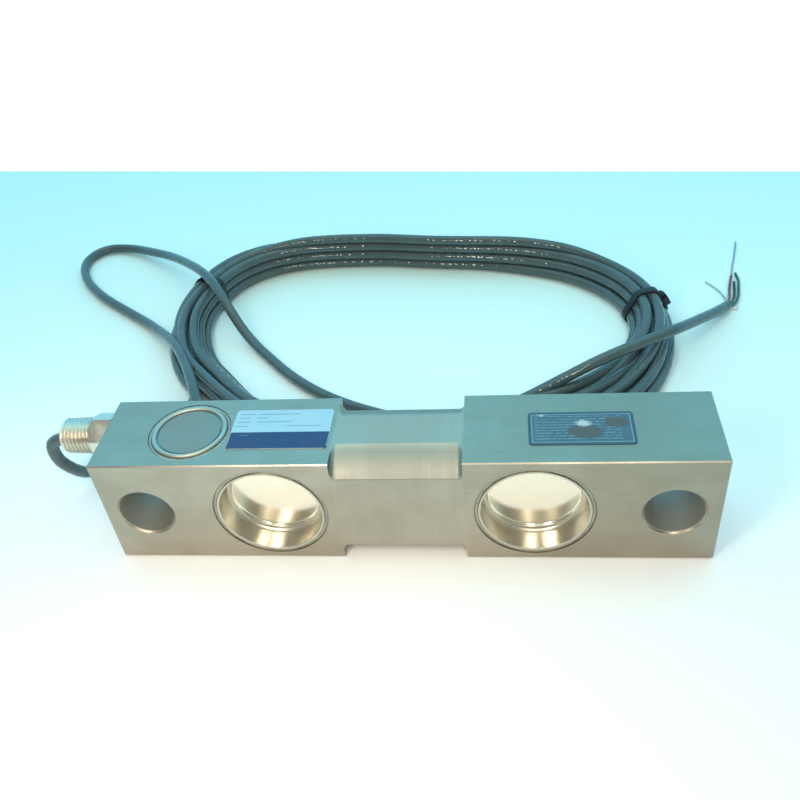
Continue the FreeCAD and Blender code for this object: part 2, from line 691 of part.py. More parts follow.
def build_seals():
    """Cable seal and potting inside the conduit fitting."""
    place = (-DIM["beam_length"] / 2, DIM["gland_y"], DIM["gland_z"])
    tip = DIM["collar_length"] + fitting_length()
    outside = DIM["fitting_bore"] - DIM["seal_clearance"]
    cable_hole = DIM["cable_radius"] + DIM["seal_clearance"]
    core_hole = DIM["core_radius"] + DIM["seal_clearance"]
    made = []
    for label, start, length, bore in (
        ("cable_seal", tip - DIM["seal_recess"] - DIM["seal_length"], DIM["seal_length"], cable_hole),
        ("potting_plug", -DIM["spigot_length"], DIM["potting_length"], core_hole),
    ):
        body = new_body(label, place, V(0, 1, 0), Size.of(-90))
        ring = new_sketch(body, "ring", "XY_Plane", start)
        circle(ring, ZERO, ZERO, outside)
        circle(ring, ZERO, ZERO, bore)
        extrude(body, "Pad", ring, length)
        made.append(body)
    return made


def build_plate(label, length, width, x, y):
    """Thin label with rounded corners on the top face."""
    body = new_body(label, (x, y, DIM["beam_height"]))
    sheet_outline = new_sketch(body, "sheet", "XY_Plane")
    rectangle(sheet_outline, ZERO, ZERO, length, width)
    pad = extrude(body, "Pad", sheet_outline, DIM["plate_thickness"])
    dress(body, "Fillet", pad, "Radius", DIM["plate_corner"], upright_edge)
    return body


def coil_side_radius():
    """Radius of the two long bends of the coil at its centre line."""
    length, breadth, end = DIM["coil_length"], DIM["coil_breadth"], DIM["coil_end_radius"]
    reach = length - end
    return (reach * reach + breadth * breadth - end * end) / ((breadth - end) * 2)


def coil_floor():
    """Height of the bottom of the bundle above the floor."""
    return DIM["tie_thickness"] + DIM["tie_clearance"]


def to_coil(point):
    """Express a point of the shared frame in the frame of the coil."""
    turned = FreeCAD.Rotation(V(0, 0, 1), -DIM["coil_turn"].value)
    return turned.multVec(V(*point) - V(DIM["coil_x"].value, DIM["coil_y"].value, 0))


def build_coil():
    """Outer shape of the coiled cable with the two ends that leave it."""
    body = new_body("cable_coil", (DIM["coil_x"], DIM["coil_y"], ZERO), V(0, 0, 1), DIM["coil_turn"])
    reach = DIM["coil_length"] - DIM["coil_end_radius"]
    side = coil_side_radius()
    drop = side - DIM["coil_breadth"]
    span = side - DIM["coil_end_radius"]
    ring = new_sketch(body, "ring", "XY_Plane", coil_floor())
    for sign in (1, -1):
        grow = DIM["coil_width"] / 2 * sign
        end_radius = DIM["coil_end_radius"] + grow
        side_radius = side + grow
        u = reach + end_radius * reach / span
        v = end_radius * drop / span
        outline(ring, [
            (u, -v, reach, ZERO, end_radius),
            (u, v, ZERO, -drop, side_radius),
            (-u, v, -reach, ZERO, end_radius),
            (-u, -v, ZERO, drop, side_radius),
        ])
    pad = extrude(body, "Pad", ring, DIM["coil_height"])
    dress(body, "Fillet", pad, "Radius", DIM["coil_round"], flat_edge)
    for name, end, beyond in (("lead", LEAD_END, LEAD_ROUTE[-1]), ("tail", TAIL_START, TAIL_ROUTE[0])):
        outside = to_coil(end)
        inward = outside - to_coil(beyond)
        stub = body.newObject("PartDesign::AdditiveCylinder", "coil_" + name)
        stub.Placement = FreeCAD.Placement(outside, FreeCAD.Rotation(V(0, 0, 1), inward))
        bind(stub, "Radius", DIM["cable_radius"])
        bind(stub, "Height", DIM["coil_stub"])
    return body


def build_tie(label, end, angle):
    """Cable tie round the bundle with its head on the outside."""
    turned = math.radians(angle.value + DIM["coil_turn"].value)
    lean = math.radians(DIM["coil_turn"].value)
    reach = (DIM["coil_length"] - DIM["coil_end_radius"]) * end
    base = (
        DIM["coil_x"] + reach * math.cos(lean) + DIM["coil_end_radius"] * math.cos(turned),
        DIM["coil_y"] + reach * math.sin(lean) + DIM["coil_end_radius"] * math.sin(turned),
        ZERO,
    )
    body = new_body(label, base, V(0, 0, 1), angle + DIM["coil_turn"])
    band = new_sketch(body, "band", "XZ_Plane")
    middle = coil_floor() + DIM["coil_height"] / 2
    for gap in (DIM["tie_clearance"] + DIM["tie_thickness"], DIM["tie_clearance"]):
        half_u = DIM["coil_width"] / 2 + gap
        half_v = DIM["coil_height"] / 2 + gap
        bend = DIM["coil_round"] + gap
        low, high = middle - half_v, middle + half_v
        outline(band, [
            (bend - half_u, low),
            (half_u - bend, low, half_u - bend, low + bend, bend),
            (half_u, low + bend),
            (half_u, high - bend, half_u - bend, high - bend, bend),
            (half_u - bend, high),
            (bend - half_u, high, bend - half_u, high - bend, bend),
            (-half_u, high - bend),
            (-half_u, low + bend, bend - half_u, low + bend, bend),
        ])
    extrude(body, "Pad", band, DIM["tie_width"], midplane=True)
    head = new_sketch(body, "head", "XZ_Plane")
    skin = DIM["coil_width"] / 2 + DIM["tie_clearance"] + DIM["tie_thickness"] / 2
    rectangle(head, skin + DIM["tie_head_height"] / 2, middle, DIM["tie_head_height"], DIM["tie_head_length"])
    extrude(body, "Pad", head, DIM["tie_head_width"], midplane=True)
    return body


def fitting_tip():
    """Outer end of the conduit fitting along X."""
    return -DIM["beam_length"] / 2 - DIM["collar_length"] - fitting_length()


def jacket_start():
    """Point inside the conduit fitting where the jacket of the cable begins."""
    x = DIM["spigot_length"] - DIM["potting_length"] - DIM["beam_length"] / 2
    return x.value, DIM["gland_y"].value, DIM["gland_z"].value


def shifted(anchor, offsets):
    """Add offsets to an anchor point."""
    return [tuple(a + b for a, b in zip(anchor, offset)) for offset in offsets]


def build_cable():
    """Free runs of the cable and the stripped wires at its end."""
    tip = (fitting_tip().value, DIM["gland_y"].value, DIM["gland_z"].value)
    lead = [jacket_start()] + shifted(tip, LEAD_CURL) + LEAD_ROUTE + [LEAD_END]
    made = [tube("cable_lead", lead, DIM["cable_radius"])]
    made.append(tube("cable_tail", [TAIL_START] + TAIL_ROUTE + [TAIL_END], DIM["cable_radius"]))
    end = V(*TAIL_END)
    ahead = (end - V(*TAIL_ROUTE[-1])).normalize()
    across = ahead.cross(V(0, 0, 1)).normalize()
    upward = across.cross(ahead)
    spread = DIM["conductor_spread"].value
    for label, route in WIRE_ROUTES.items():
        around = math.radians(WIRE_ANGLES[label])
        start = end + across * spread * math.cos(around) + upward * spread * math.sin(around)
        straight = start + ahead * DIM["wire_straight"].value
        radius = DIM["strand_radius"] if label == "shield_strand" else DIM["conductor_radius"]
        made.append(tube(label, [tuple(start), tuple(straight)] + route, radius))
    bare = V(*WIRE_ROUTES["conductor_red"][-1])
    ahead = (bare - V(*WIRE_ROUTES["conductor_red"][-2])).normalize()
    straight = bare + ahead * DIM["wire_straight"].value
    core = [tuple(bare), tuple(straight)] + RED_CORE_ROUTE
    made.append(tube("conductor_red_core", core, DIM["strand_radius"]))
    return made


def build_looms():
    """Gauge leads in the drillings and the cable cores to the board."""
    web = DIM["web_thickness"].value / 2
    middle = DIM["beam_height"].value / 2
    pocket = DIM["pocket_offset"].value
    gland_y, gland_z = DIM["gland_y"].value, DIM["gland_z"].value
    rise = gland_z - middle
    mouth = pocket + math.sqrt(max(0.0, DIM["pocket_radius"].value ** 2 - rise ** 2))
    anchors = {
        "left_web": (-pocket, web, middle),
        "right_web": (pocket, web, middle),
        "channel": (-mouth, gland_y, gland_z),
        "cavity": (-DIM["cover_offset"].value, gland_y, gland_z),
    }
    made = [tube("core_loom", [jacket_start()] + shifted(anchors["cavity"], CORE_END), DIM["core_radius"])]
    for label, offsets in (("gauge_loom_left", LOOM_LEFT), ("gauge_loom_right", LOOM_RIGHT)):
        route = []
        for anchor, steps in offsets.items():
            route.extend(shifted(anchors[anchor], steps))
        made.append(tube(label, route, DIM["loom_radius"]))
    return made


def build_all():
    """Build every piece and return the document objects to be written."""
    made = [build_beam()]
    for face in ("front", "rear"):
        for name, side in (("left", -1), ("right", 1)):
            made.append(build_cup("seal_cup_%s_%s" % (face, name), side, face == "front"))
            made.append(build_gauge("strain_gauge_%s_%s" % (face, name), side, face == "front"))
    for name, side in (("left", -1), ("right", 1)):
        made.append(build_web_leads("web_leads_" + name, side))
    made.append(build_cover())
    made.extend(build_cavity_parts())
    made.append(build_fitting())
    made.extend(build_seals())
    made.append(build_plate("nameplate", *[DIM["nameplate_" + key] for key in ("length", "width", "x", "y")]))
    made.append(build_plate("rating_plate", *[DIM["rating_" + key] for key in ("length", "width", "x", "y")]))
    made.append(build_coil())
    made.append(build_tie("coil_tie_left", -1, DIM["tie_left_angle"]))
    made.append(build_tie("coil_tie_right", 1, DIM["tie_right_angle"]))
    made.extend(build_cable())
    made.extend(build_looms())
    return made


def write_all(made):
    """Check every piece and write one file for each."""
    doc.recompute()
    os.makedirs("parts", exist_ok=True)
    for item in doc.Objects:
        if "Invalid" in item.State or "Error" in item.State:
            raise ValueError("%s did not compute: %s" % (item.Label, item.State))
    for item in made:
        if item.Shape.isNull() or not item.Shape.isValid():
            raise ValueError("%s has no valid shape" % item.Label)
        print("%s volume %.1f, solids %d" % (item.Label, item.Shape.Volume, len(item.Shape.Solids)))
        item.Shape.exportStep("parts/%s.step" % item.Label)


write_all(build_all())
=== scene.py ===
"""Looks of a weighing load cell: a double-ended shear beam with a coiled cable.

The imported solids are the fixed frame. X runs along the beam, Y from its front
face to its rear face and Z up, with the origin in the middle of its bottom
face. All lengths are in metres.
"""
from __future__ import annotations

import json
import logging
import math
from dataclasses import dataclass
from enum import Enum
from typing import Any, Callable, Mapping, Sequence, Union

import bmesh
import bpy
from mathutils import Matrix, Vector

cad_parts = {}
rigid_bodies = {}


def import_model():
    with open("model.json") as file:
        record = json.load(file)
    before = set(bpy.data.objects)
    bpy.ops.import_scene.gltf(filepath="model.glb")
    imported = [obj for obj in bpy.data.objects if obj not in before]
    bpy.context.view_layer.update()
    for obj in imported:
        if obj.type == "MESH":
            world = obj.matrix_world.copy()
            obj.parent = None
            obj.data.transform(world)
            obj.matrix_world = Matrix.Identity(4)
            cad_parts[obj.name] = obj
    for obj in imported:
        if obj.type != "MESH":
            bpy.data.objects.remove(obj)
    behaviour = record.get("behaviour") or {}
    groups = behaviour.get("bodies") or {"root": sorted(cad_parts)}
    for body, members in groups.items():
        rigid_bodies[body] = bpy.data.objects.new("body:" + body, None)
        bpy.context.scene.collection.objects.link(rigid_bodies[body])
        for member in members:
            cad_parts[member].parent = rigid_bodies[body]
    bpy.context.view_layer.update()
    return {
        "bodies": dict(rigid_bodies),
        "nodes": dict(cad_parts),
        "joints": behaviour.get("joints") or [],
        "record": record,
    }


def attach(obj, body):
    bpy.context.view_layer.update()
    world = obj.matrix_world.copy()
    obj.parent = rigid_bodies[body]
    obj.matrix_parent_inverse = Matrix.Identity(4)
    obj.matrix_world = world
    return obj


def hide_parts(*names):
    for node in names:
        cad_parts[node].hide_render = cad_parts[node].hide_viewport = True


LOG = logging.getLogger("load_cell")
MM = 0.001
Colour = tuple[float, float, float]
Point = tuple[float, float, float]
RadiusRule = Union[float, Callable[[float], float]]


class Face(Enum):
    """The two long faces of the beam that carry sealing cups."""

    FRONT = -1
    REAR = 1


class Side(Enum):
    """The two ends of the beam."""

    LEFT = -1
    RIGHT = 1


def smooth(value: float) -> float:
    """Ease a value from 0 to 1."""
    held = min(1.0, max(0.0, value))
    return held * held * (3.0 - 2.0 * held)


def metres(points: Sequence[Point]) -> list[Vector]:
    """Turn points in millimetres into vectors in metres."""
    return [Vector(point) * MM for point in points]


def show(thing: bpy.types.Object) -> None:
    """Put an object into the scene."""
    bpy.context.scene.collection.objects.link(thing)


class Plan:
    """Adds and links the nodes of one tree."""

    def __init__(self, tree: bpy.types.NodeTree) -> None:
        """Keep the tree."""
        self.tree = tree

    def feed(self, socket: bpy.types.NodeSocket, value: Any) -> None:
        """Link a socket to an input, or set the input's own value.

        Args:
            socket: Input that receives the value.
            value: Another socket, a number or a tuple; a colour may have three parts.
        """
        if isinstance(value, bpy.types.NodeSocket):
            self.tree.links.new(value, socket)
        elif isinstance(value, tuple) and socket.type == "RGBA" and len(value) == 3:
            socket.default_value = (*value, 1.0)
        else:
            socket.default_value = value

    def node(self, kind: str, inputs: Mapping[Any, Any] | None = None, **settings: Any) -> bpy.types.Node:
        """Add a node.

        Args:
            kind: Type name of the node.
            inputs: Values or sockets by input name or number.
            **settings: Properties of the node.

        Returns:
            The new node.
        """
        made = self.tree.nodes.new(kind)
        for key, value in settings.items():
            setattr(made, key, value)
        for key, value in (inputs or {}).items():
            self.feed(made.inputs[key], value)
        return made

    def math(self, operation: str, first: Any, second: Any = 0.0, third: Any = 0.0) -> bpy.types.NodeSocket:
        """Add one sum.

        Args:
            operation: Name of the sum.
            first: First value or socket.
            second: Second value or socket.
            third: Third value or socket.

        Returns:
            The result's socket.
        """
        return self.node("ShaderNodeMath", {0: first, 1: second, 2: third}, operation=operation).outputs[0]

    def times(self, first: Any, second: Any) -> bpy.types.NodeSocket:
        """Multiply two values."""
        return self.math("MULTIPLY", first, second)

    def ease(self, value: Any, low: float, high: float, start: Any = 0.0,
             end: Any = 1.0) -> bpy.types.NodeSocket:
        """Map a value smoothly from one range to another.

        Args:
            value: Value to map.
            low: Value that gives start.
            high: Value that gives end.
            start: Result at low.
            end: Result at high.

        Returns:
            The mapped value's socket.
        """
        sockets = {0: value, 1: low, 2: high, 3: start, 4: end}
        return self.node("ShaderNodeMapRange", sockets, interpolation_type="SMOOTHSTEP").outputs[0]

    def blend(self, factor: Any, first: Any, second: Any, kind: str = "MIX") -> bpy.types.NodeSocket:
        """Mix two colours.

        Args:
            factor: Share of the second colour.
            first: First colour or socket.
            second: Second colour or socket.
            kind: How the colours meet.

        Returns:
            The mixed colour's socket.
        """
        sockets = {0: factor, 6: first, 7: second}
        return self.node("ShaderNodeMix", sockets, data_type="RGBA", blend_type=kind).outputs[2]

    def noise(self, vector: Any, scale: Any, detail: float = 2.0, rough: float = 0.5) -> bpy.types.NodeSocket:
        """Add a noise pattern.

        Args:
            vector: Where the pattern is read.
            scale: Cells per metre.
            detail: Layers of finer noise.
            rough: Weight of the finer layers.

        Returns:
            The pattern's value, about 0.5.
        """
        sockets = {"Vector": vector, "Scale": scale, "Detail": detail, "Roughness": rough}
        return self.node("ShaderNodeTexNoise", sockets).outputs[0]

    def ramp(self, value: Any, stops: Sequence[tuple[float, Colour]]) -> bpy.types.NodeSocket:
        """Turn a value into a colour.

        Args:
            value: Value to look up.
            stops: Values in rising order, each with its colour.

        Returns:
            The colour's socket.
        """
        low, high = stops[0][0], stops[-1][0]
        share = self.node("ShaderNodeMapRange", {0: value, 1: low, 2: high}).outputs[0]
        made = self.node("ShaderNodeValToRGB", {0: share})
        for level, colour in stops[1:-1]:
            stop = made.color_ramp.elements.new((level - low) / (high - low))
            stop.color = (*colour, 1.0)
        made.color_ramp.elements[0].color = (*stops[0][1], 1.0)
        made.color_ramp.elements[len(stops) - 1].color = (*stops[-1][1], 1.0)
        return made.outputs[0]

    def vector(self, operation: str, first: Any, second: Any = (0.0, 0.0, 0.0)) -> bpy.types.NodeSocket:
        """Add one sum of vectors."""
        return self.node("ShaderNodeVectorMath", {0: first, 1: second}, operation=operation).outputs[0]

    def length(self, x: Any, y: Any) -> bpy.types.NodeSocket:
        """Give the distance of a point from the middle of its plane."""
        return self.math("SQRT", self.math("MULTIPLY_ADD", x, x, self.times(y, y)))

    def weigh(self, share: float, first: Any, second: Any) -> bpy.types.NodeSocket:
        """Give the mean of two values, with a share for the first and the rest for the second."""
        return self.math("MULTIPLY_ADD", first, share, self.times(second, 1.0 - share))

    def inset(self, x: Any, y: Any, half: tuple[float, float]) -> bpy.types.NodeSocket:
        """Give the distance of a point from the nearest edge of a rectangle.

        Args:
            x: First part, from the rectangle's middle.
            y: Second part, from the rectangle's middle.
            half: Half sizes of the rectangle.

        Returns:
            The distance's socket.
        """
        edges = [self.math("SUBTRACT", size, self.math("ABSOLUTE", part)) for size, part in zip(half, (x, y))]
        return self.math("MINIMUM", *edges)

    def parts(self, vector: Any) -> Sequence[bpy.types.NodeSocket]:
        """Split a vector into its three parts."""
        return self.node("ShaderNodeSeparateXYZ", {0: vector}).outputs

    def join(self, x: Any, y: Any, z: Any) -> bpy.types.NodeSocket:
        """Make a vector of three parts."""
        return self.node("ShaderNodeCombineXYZ", {0: x, 1: y, 2: z}).outputs[0]


class ShaderKit:
    """Shared surface effects, each built once as a node group."""

    contrast: tuple[float, float] = (0.34, 0.66)
    broad_share: float = 0.45
    broad_rows: float = 0.12
    broad_streak: float = 0.4
    cloud_range: tuple[float, float] = (0.36, 0.66)
    speck_range: tuple[float, float] = (0.66, 0.76)
    speck_finer: float = 26.0
    wear_scale: float = 260.0
    wear_least: float = 0.2
    wear_swing: float = 1.6
    wear_start: float = 0.3
    ring_wander: float = 0.8
    wave_range: tuple[float, float] = (0.3, 0.7)

    def __init__(self) -> None:
        """Build the groups."""
        self.grain = self._grain()
        self.marks = self._marks()
        self.edges = self._edges()
        self.lathe = self._lathe()
        self.pebble = self._pebble()

    @staticmethod
    def _start(name: str, inputs: Sequence[tuple[str, str, Any]],
               outputs: Sequence[str]) -> tuple[Plan, Any, Any]:
        """Start a group with its sockets.

        Args:
            name: Name of the group.
            inputs: Name, kind and first value of each input.
            outputs: Names of the value outputs.

        Returns:
            The group's plan, its input node and its output node.
        """
        tree = bpy.data.node_groups.new(name, "ShaderNodeTree")
        for label, kind, value in inputs:
            socket = tree.interface.new_socket(name=label, in_out="INPUT", socket_type="NodeSocket" + kind)
            if value is not None:
                socket.default_value = value
        for label in outputs:
            tree.interface.new_socket(name=label, in_out="OUTPUT", socket_type="NodeSocketFloat")
        return Plan(tree), tree.nodes.new("NodeGroupInput"), tree.nodes.new("NodeGroupOutput")

    def _grain(self) -> bpy.types.NodeTree:
        """Fine scratches along the first axis of the vector.

        Returns:
            The finished group.
        """
        sockets = [("Vector", "Vector", None), ("Lines", "Float", 1600.0), ("Streak", "Float", 45.0)]
        plan, given, out = self._start("grinding_grain", sockets, ["Value"])
        x, y, z = plan.parts(given.outputs["Vector"])
        along = plan.times(x, given.outputs["Streak"])
        rows = [plan.times(part, given.outputs["Lines"]) for part in (y, z)]
        fine = plan.noise(plan.join(along, *rows), 1.0, detail=3.0, rough=0.6)
        broad_rows = [plan.times(row, self.broad_rows) for row in rows]
        broad_along = plan.times(along, self.broad_streak)
        broad = plan.noise(plan.join(broad_along, *broad_rows), 1.0, detail=2.0, rough=0.5)
        both = plan.weigh(self.broad_share, broad, fine)
        plan.feed(out.inputs["Value"], plan.ease(both, *self.contrast))
        return plan.tree

    def _marks(self) -> bpy.types.NodeTree:
        """Cloudy handling marks and small specks.

        Returns:
            The finished group.
        """
        sockets = [("Vector", "Vector", None), ("Scale", "Float", 40.0)]
        plan, given, out = self._start("handling_marks", sockets, ["Cloud", "Speck"])
        cloud = plan.noise(given.outputs["Vector"], given.outputs["Scale"], detail=5.0, rough=0.62)
        plan.feed(out.inputs["Cloud"], plan.ease(cloud, *self.cloud_range))
        fine = plan.times(given.outputs["Scale"], self.speck_finer)
        speck = plan.noise(given.outputs["Vector"], fine, detail=1.0, rough=0.5)
        plan.feed(out.inputs["Speck"], plan.ease(speck, *self.speck_range))
        return plan.tree

    def _edges(self) -> bpy.types.NodeTree:
        """Rubbed edges of a block, found from its middle and half sizes.

        Returns:
            The finished group.
        """
        sockets = [("Vector", "Vector", None), ("Middle", "Vector", None), ("Half", "Vector", None),
                   ("Width", "Float", 0.001)]
        plan, given, out = self._start("rubbed_edges", sockets, ["Mask"])
        away = plan.vector("SUBTRACT", given.outputs["Vector"], given.outputs["Middle"])
        away = plan.vector("ABSOLUTE", away)
        x, y, z = plan.parts(plan.vector("SUBTRACT", given.outputs["Half"], away))
        least = plan.math("MINIMUM", x, y)
        most = plan.math("MAXIMUM", x, y)
        second = plan.math("MAXIMUM", least, plan.math("MINIMUM", most, z))
        worn = plan.noise(given.outputs["Vector"], self.wear_scale, detail=3.0, rough=0.6)
        uneven = plan.math("MULTIPLY_ADD", worn, self.wear_swing, self.wear_least)
        share = plan.math("DIVIDE", second, plan.times(given.outputs["Width"], uneven))
        plan.feed(out.inputs["Mask"], plan.ease(share, self.wear_start, 1.0, 1.0, 0.0))
        return plan.tree

    def _lathe(self) -> bpy.types.NodeTree:
        """Fine rings about an upright line through the middle of the vector.

        Returns:
            The finished group.
        """
        sockets = [("Vector", "Vector", None), ("Rings", "Float", 2200.0)]
        plan, given, out = self._start("lathe_rings", sockets, ["Value"])
        x, y, _ = plan.parts(given.outputs["Vector"])
        rings = plan.times(plan.length(x, y), given.outputs["Rings"])
        around = plan.times(plan.math("ARCTAN2", y, x), self.ring_wander)
        value = plan.noise(plan.join(rings, around, 0.0), 1.0, detail=3.0, rough=0.65)
        plan.feed(out.inputs["Value"], plan.ease(value, *self.contrast))
        return plan.tree

    def _pebble(self) -> bpy.types.NodeTree:
        """Fine moulded or extruded skin with slow waves.

        Returns:
            The finished group.
        """
        sockets = [("Vector", "Vector", None), ("Scale", "Float", 900.0), ("Wave", "Float", 180.0)]
        plan, given, out = self._start("moulded_skin", sockets, ["Value", "Wave"])
        skin = plan.noise(given.outputs["Vector"], given.outputs["Scale"], detail=3.0, rough=0.6)
        wave = plan.noise(given.outputs["Vector"], given.outputs["Wave"], detail=1.0, rough=0.4)
        plan.feed(out.inputs["Value"], skin)
        plan.feed(out.inputs["Wave"], plan.ease(wave, *self.wave_range))
        return plan.tree


class Surface:
    """A material in the making, with its shader and object coordinates."""

    def __init__(self, name: str, metallic: float = 0.0, **constants: float) -> None:
        """Start a material.

        Args:
            name: Name of the material.
            metallic: Metal or not.
            **constants: Values of the shader's own sockets, by name with _ for spaces.
        """
        self.material = bpy.data.materials.new(name)
        self.material.use_nodes = True
        self.plan = Plan(self.material.node_tree)
        self.shader = self.material.node_tree.nodes["Principled BSDF"]
        self.shader.inputs["Metallic"].default_value = metallic
        for key, value in constants.items():
            self.shader.inputs[key.replace("_", " ")].default_value = value
        self.place = self.plan.node("ShaderNodeTexCoord").outputs["Object"]

    def about(self, middle: Point, turn: Point = (0.0, 0.0, 0.0), vector: Any = None) -> bpy.types.NodeSocket:
        """Give coordinates about a point.

        Args:
            middle: Point that becomes the origin.
            turn: Turn of the axes about the origin, in radians.
            vector: Coordinates to move, or None for the object's own.

        Returns:
            The moved coordinates' socket.
        """
        moved = self.place if vector is None else vector
        sockets = {"Vector": moved, "Location": middle, "Rotation": turn}
        return self.plan.node("ShaderNodeMapping", sockets, vector_type="TEXTURE").outputs[0]

    def group(self, tree: bpy.types.NodeTree, **inputs: Any) -> Sequence[bpy.types.NodeSocket]:
        """Place a shared effect.

        Args:
            tree: Node group of the effect.
            **inputs: Values or sockets of the group's inputs.

        Returns:
            The effect's outputs.
        """
        made = self.plan.node("ShaderNodeGroup", node_tree=tree)
        for key, value in inputs.items():
            self.plan.feed(made.inputs[key], value)
        return made.outputs

    def finish(self, colour: Any, roughness: Any, height: Any, depth: float) -> bpy.types.Material:
        """Feed the shader.

        Args:
            colour: Base colour.
            roughness: Roughness.
            height: Pattern that stands up from the surface.
            depth: Height of the pattern in metres.

        Returns:
            The finished material.
        """
        self.plan.feed(self.shader.inputs["Base Color"], colour)
        self.plan.feed(self.shader.inputs["Roughness"], roughness)
        bump = self.plan.node("ShaderNodeBump", {"Height": height, "Distance": depth, "Strength": 1.0})
        self.plan.feed(self.shader.inputs["Normal"], bump.outputs[0])
        return self.material


@dataclass(frozen=True)
class GroundSteel:
    """Ground stainless steel of the beam, with a turned seat in its middle; the seat carries painted
    highlights and painted shade, and the steel has painted shade towards its right end.
    """

    light: Colour = (0.468, 0.423, 0.342)
    dark: Colour = (0.388, 0.350, 0.280)
    # painted highlight: lighter steel colour on the top edge and the lower part of the turned seat
    seat_highlight: Colour = (0.53, 0.50, 0.43)
    # painted shade: darker steel colour that the beam takes on towards its right end
    dull: Colour = (0.27, 0.235, 0.175)
    rubbed: Colour = (0.34, 0.325, 0.28)
    drilled: Colour = (0.56, 0.51, 0.44)
    smooth_side: float = 0.32
    rough_side: float = 0.44
    seat_rougher: float = 0.14
    drilled_roughness: float = 0.62
    half: Point = (0.1032, 0.01705, 0.022225)
    right_shade_start: float = 0.015
    right_shade_end: float = 0.070
    right_shade_share: float = 0.34
    seat: float = 0.0215
    shoulder_start: float = 0.0370
    shoulder_end: float = 0.0384
    crown_start: float = 0.0432
    crown_end: float = 0.0444
    seat_highlight_share: float = 0.35
    crown_highlight_share: float = 0.5
    # painted shade: cooler, darker colour on the middle band of the turned seat
    shoulder_shade: Colour = (0.242, 0.278, 0.268)
    shoulder_shade_share: float = 0.5
    hole: float = 0.0885
    hole_radius: float = 0.00975
    turned_lines: float = 2600.0
    turned_squash: float = 0.02
    marks_scale: float = 34.0
    cloud_share: float = 0.68
    speck_share: float = 0.25
    rub_width: float = 0.0007
    rub_share: float = 0.7
    relief: float = 0.000006

    def make(self, kit: ShaderKit) -> bpy.types.Material:
        """Make the material.

        Args:
            kit: Shared surface effects.

        Returns:
            The finished material.
        """
        surface = Surface("ground_steel", 1.0)
        plan = surface.plan
        ground = surface.group(kit.grain, Vector=surface.place)[0]
        x, y, z = plan.parts(surface.place)
        across = plan.join(y, x, plan.times(z, self.turned_squash))
        turned = surface.group(kit.grain, Vector=across, Lines=self.turned_lines)[0]
        in_seat = plan.math("LESS_THAN", plan.math("ABSOLUTE", x), self.seat)
        lines = plan.blend(in_seat, ground, turned)
        cloud, speck = surface.group(kit.marks, Vector=surface.place, Scale=self.marks_scale)
        rub = surface.group(kit.edges, Vector=surface.place, Middle=(0.0, 0.0, self.half[2]), Half=self.half,
                            Width=self.rub_width)[0]
        away_x = plan.math("SUBTRACT", plan.math("ABSOLUTE", x), self.hole)
        away_z = plan.math("SUBTRACT", z, self.half[2])
        inside = plan.math("LESS_THAN", plan.length(away_x, away_z), self.hole_radius)
        shade = plan.weigh(self.cloud_share, cloud, lines)
        colour = plan.blend(shade, self.dark, self.light)
        colour = plan.blend(plan.times(speck, self.speck_share), colour, self.dark)
        # painted shade: the steel darkens towards the right end of the beam
        right_shade = plan.ease(x, self.right_shade_start, self.right_shade_end, 0.0, self.right_shade_share)
        colour = plan.blend(right_shade, colour, self.dull)
        # painted highlight: the seat is lightened along its top edge and below its shoulder
        upper = plan.ease(z, self.crown_start, self.crown_end, 0.0, self.crown_highlight_share)
        lower = plan.ease(z, self.shoulder_start, self.shoulder_end, self.seat_highlight_share, 0.0)
        between = plan.math("SUBTRACT", plan.ease(z, self.shoulder_start, self.shoulder_end),
                            plan.ease(z, self.crown_start, self.crown_end))
        seat_highlit = plan.times(plan.math("ADD", upper, lower), in_seat)
        colour = plan.blend(seat_highlit, colour, self.seat_highlight)
        # painted shade: the band of the seat between its shoulder and its top edge is darkened
        shoulder_shaded = plan.times(plan.times(between, in_seat), self.shoulder_shade_share)
        colour = plan.blend(shoulder_shaded, colour, self.shoulder_shade)
        colour = plan.blend(plan.times(rub, self.rub_share), colour, self.rubbed)
        colour = plan.blend(inside, colour, self.drilled)
        rough = plan.math("MULTIPLY_ADD", shade, self.smooth_side - self.rough_side, self.rough_side)
        rough = plan.math("MULTIPLY_ADD", in_seat, self.seat_rougher, rough)
        rough = plan.math("MAXIMUM", rough, plan.times(inside, self.drilled_roughness))
        return surface.finish(colour, rough, lines, self.relief)


@dataclass(frozen=True)
class SpunSteel:
    """Bright steel that was spun or turned about one line."""

    name: str
    light: Colour
    dark: Colour
    roughness: float
    middle: Point
    turn: Point = (0.0, 0.0, 0.0)
    rings: float = 2200.0
    ring_share: float = 0.5
    marks_scale: float = 70.0
    smoothest: float = 0.75
    uneven: float = 0.5
    speck_rougher: float = 0.05
    relief: float = 0.000002

    def make(self, kit: ShaderKit) -> bpy.types.Material:
        """Make the material.

        Args:
            kit: Shared surface effects.

        Returns:
            The finished material.
        """
        surface = Surface(self.name, 1.0)
        plan = surface.plan
        rings = surface.group(kit.lathe, Vector=surface.about(self.middle, self.turn), Rings=self.rings)[0]
        cloud, speck = surface.group(kit.marks, Vector=surface.place, Scale=self.marks_scale)
        shade = plan.weigh(self.ring_share, rings, cloud)
        colour = plan.blend(shade, self.dark, self.light)
        swing = self.roughness * self.uneven
        rough = plan.math("MULTIPLY_ADD", cloud, swing, self.roughness * self.smoothest)
        rough = plan.math("MULTIPLY_ADD", speck, self.speck_rougher, rough)
        return surface.finish(colour, rough, rings, self.relief)


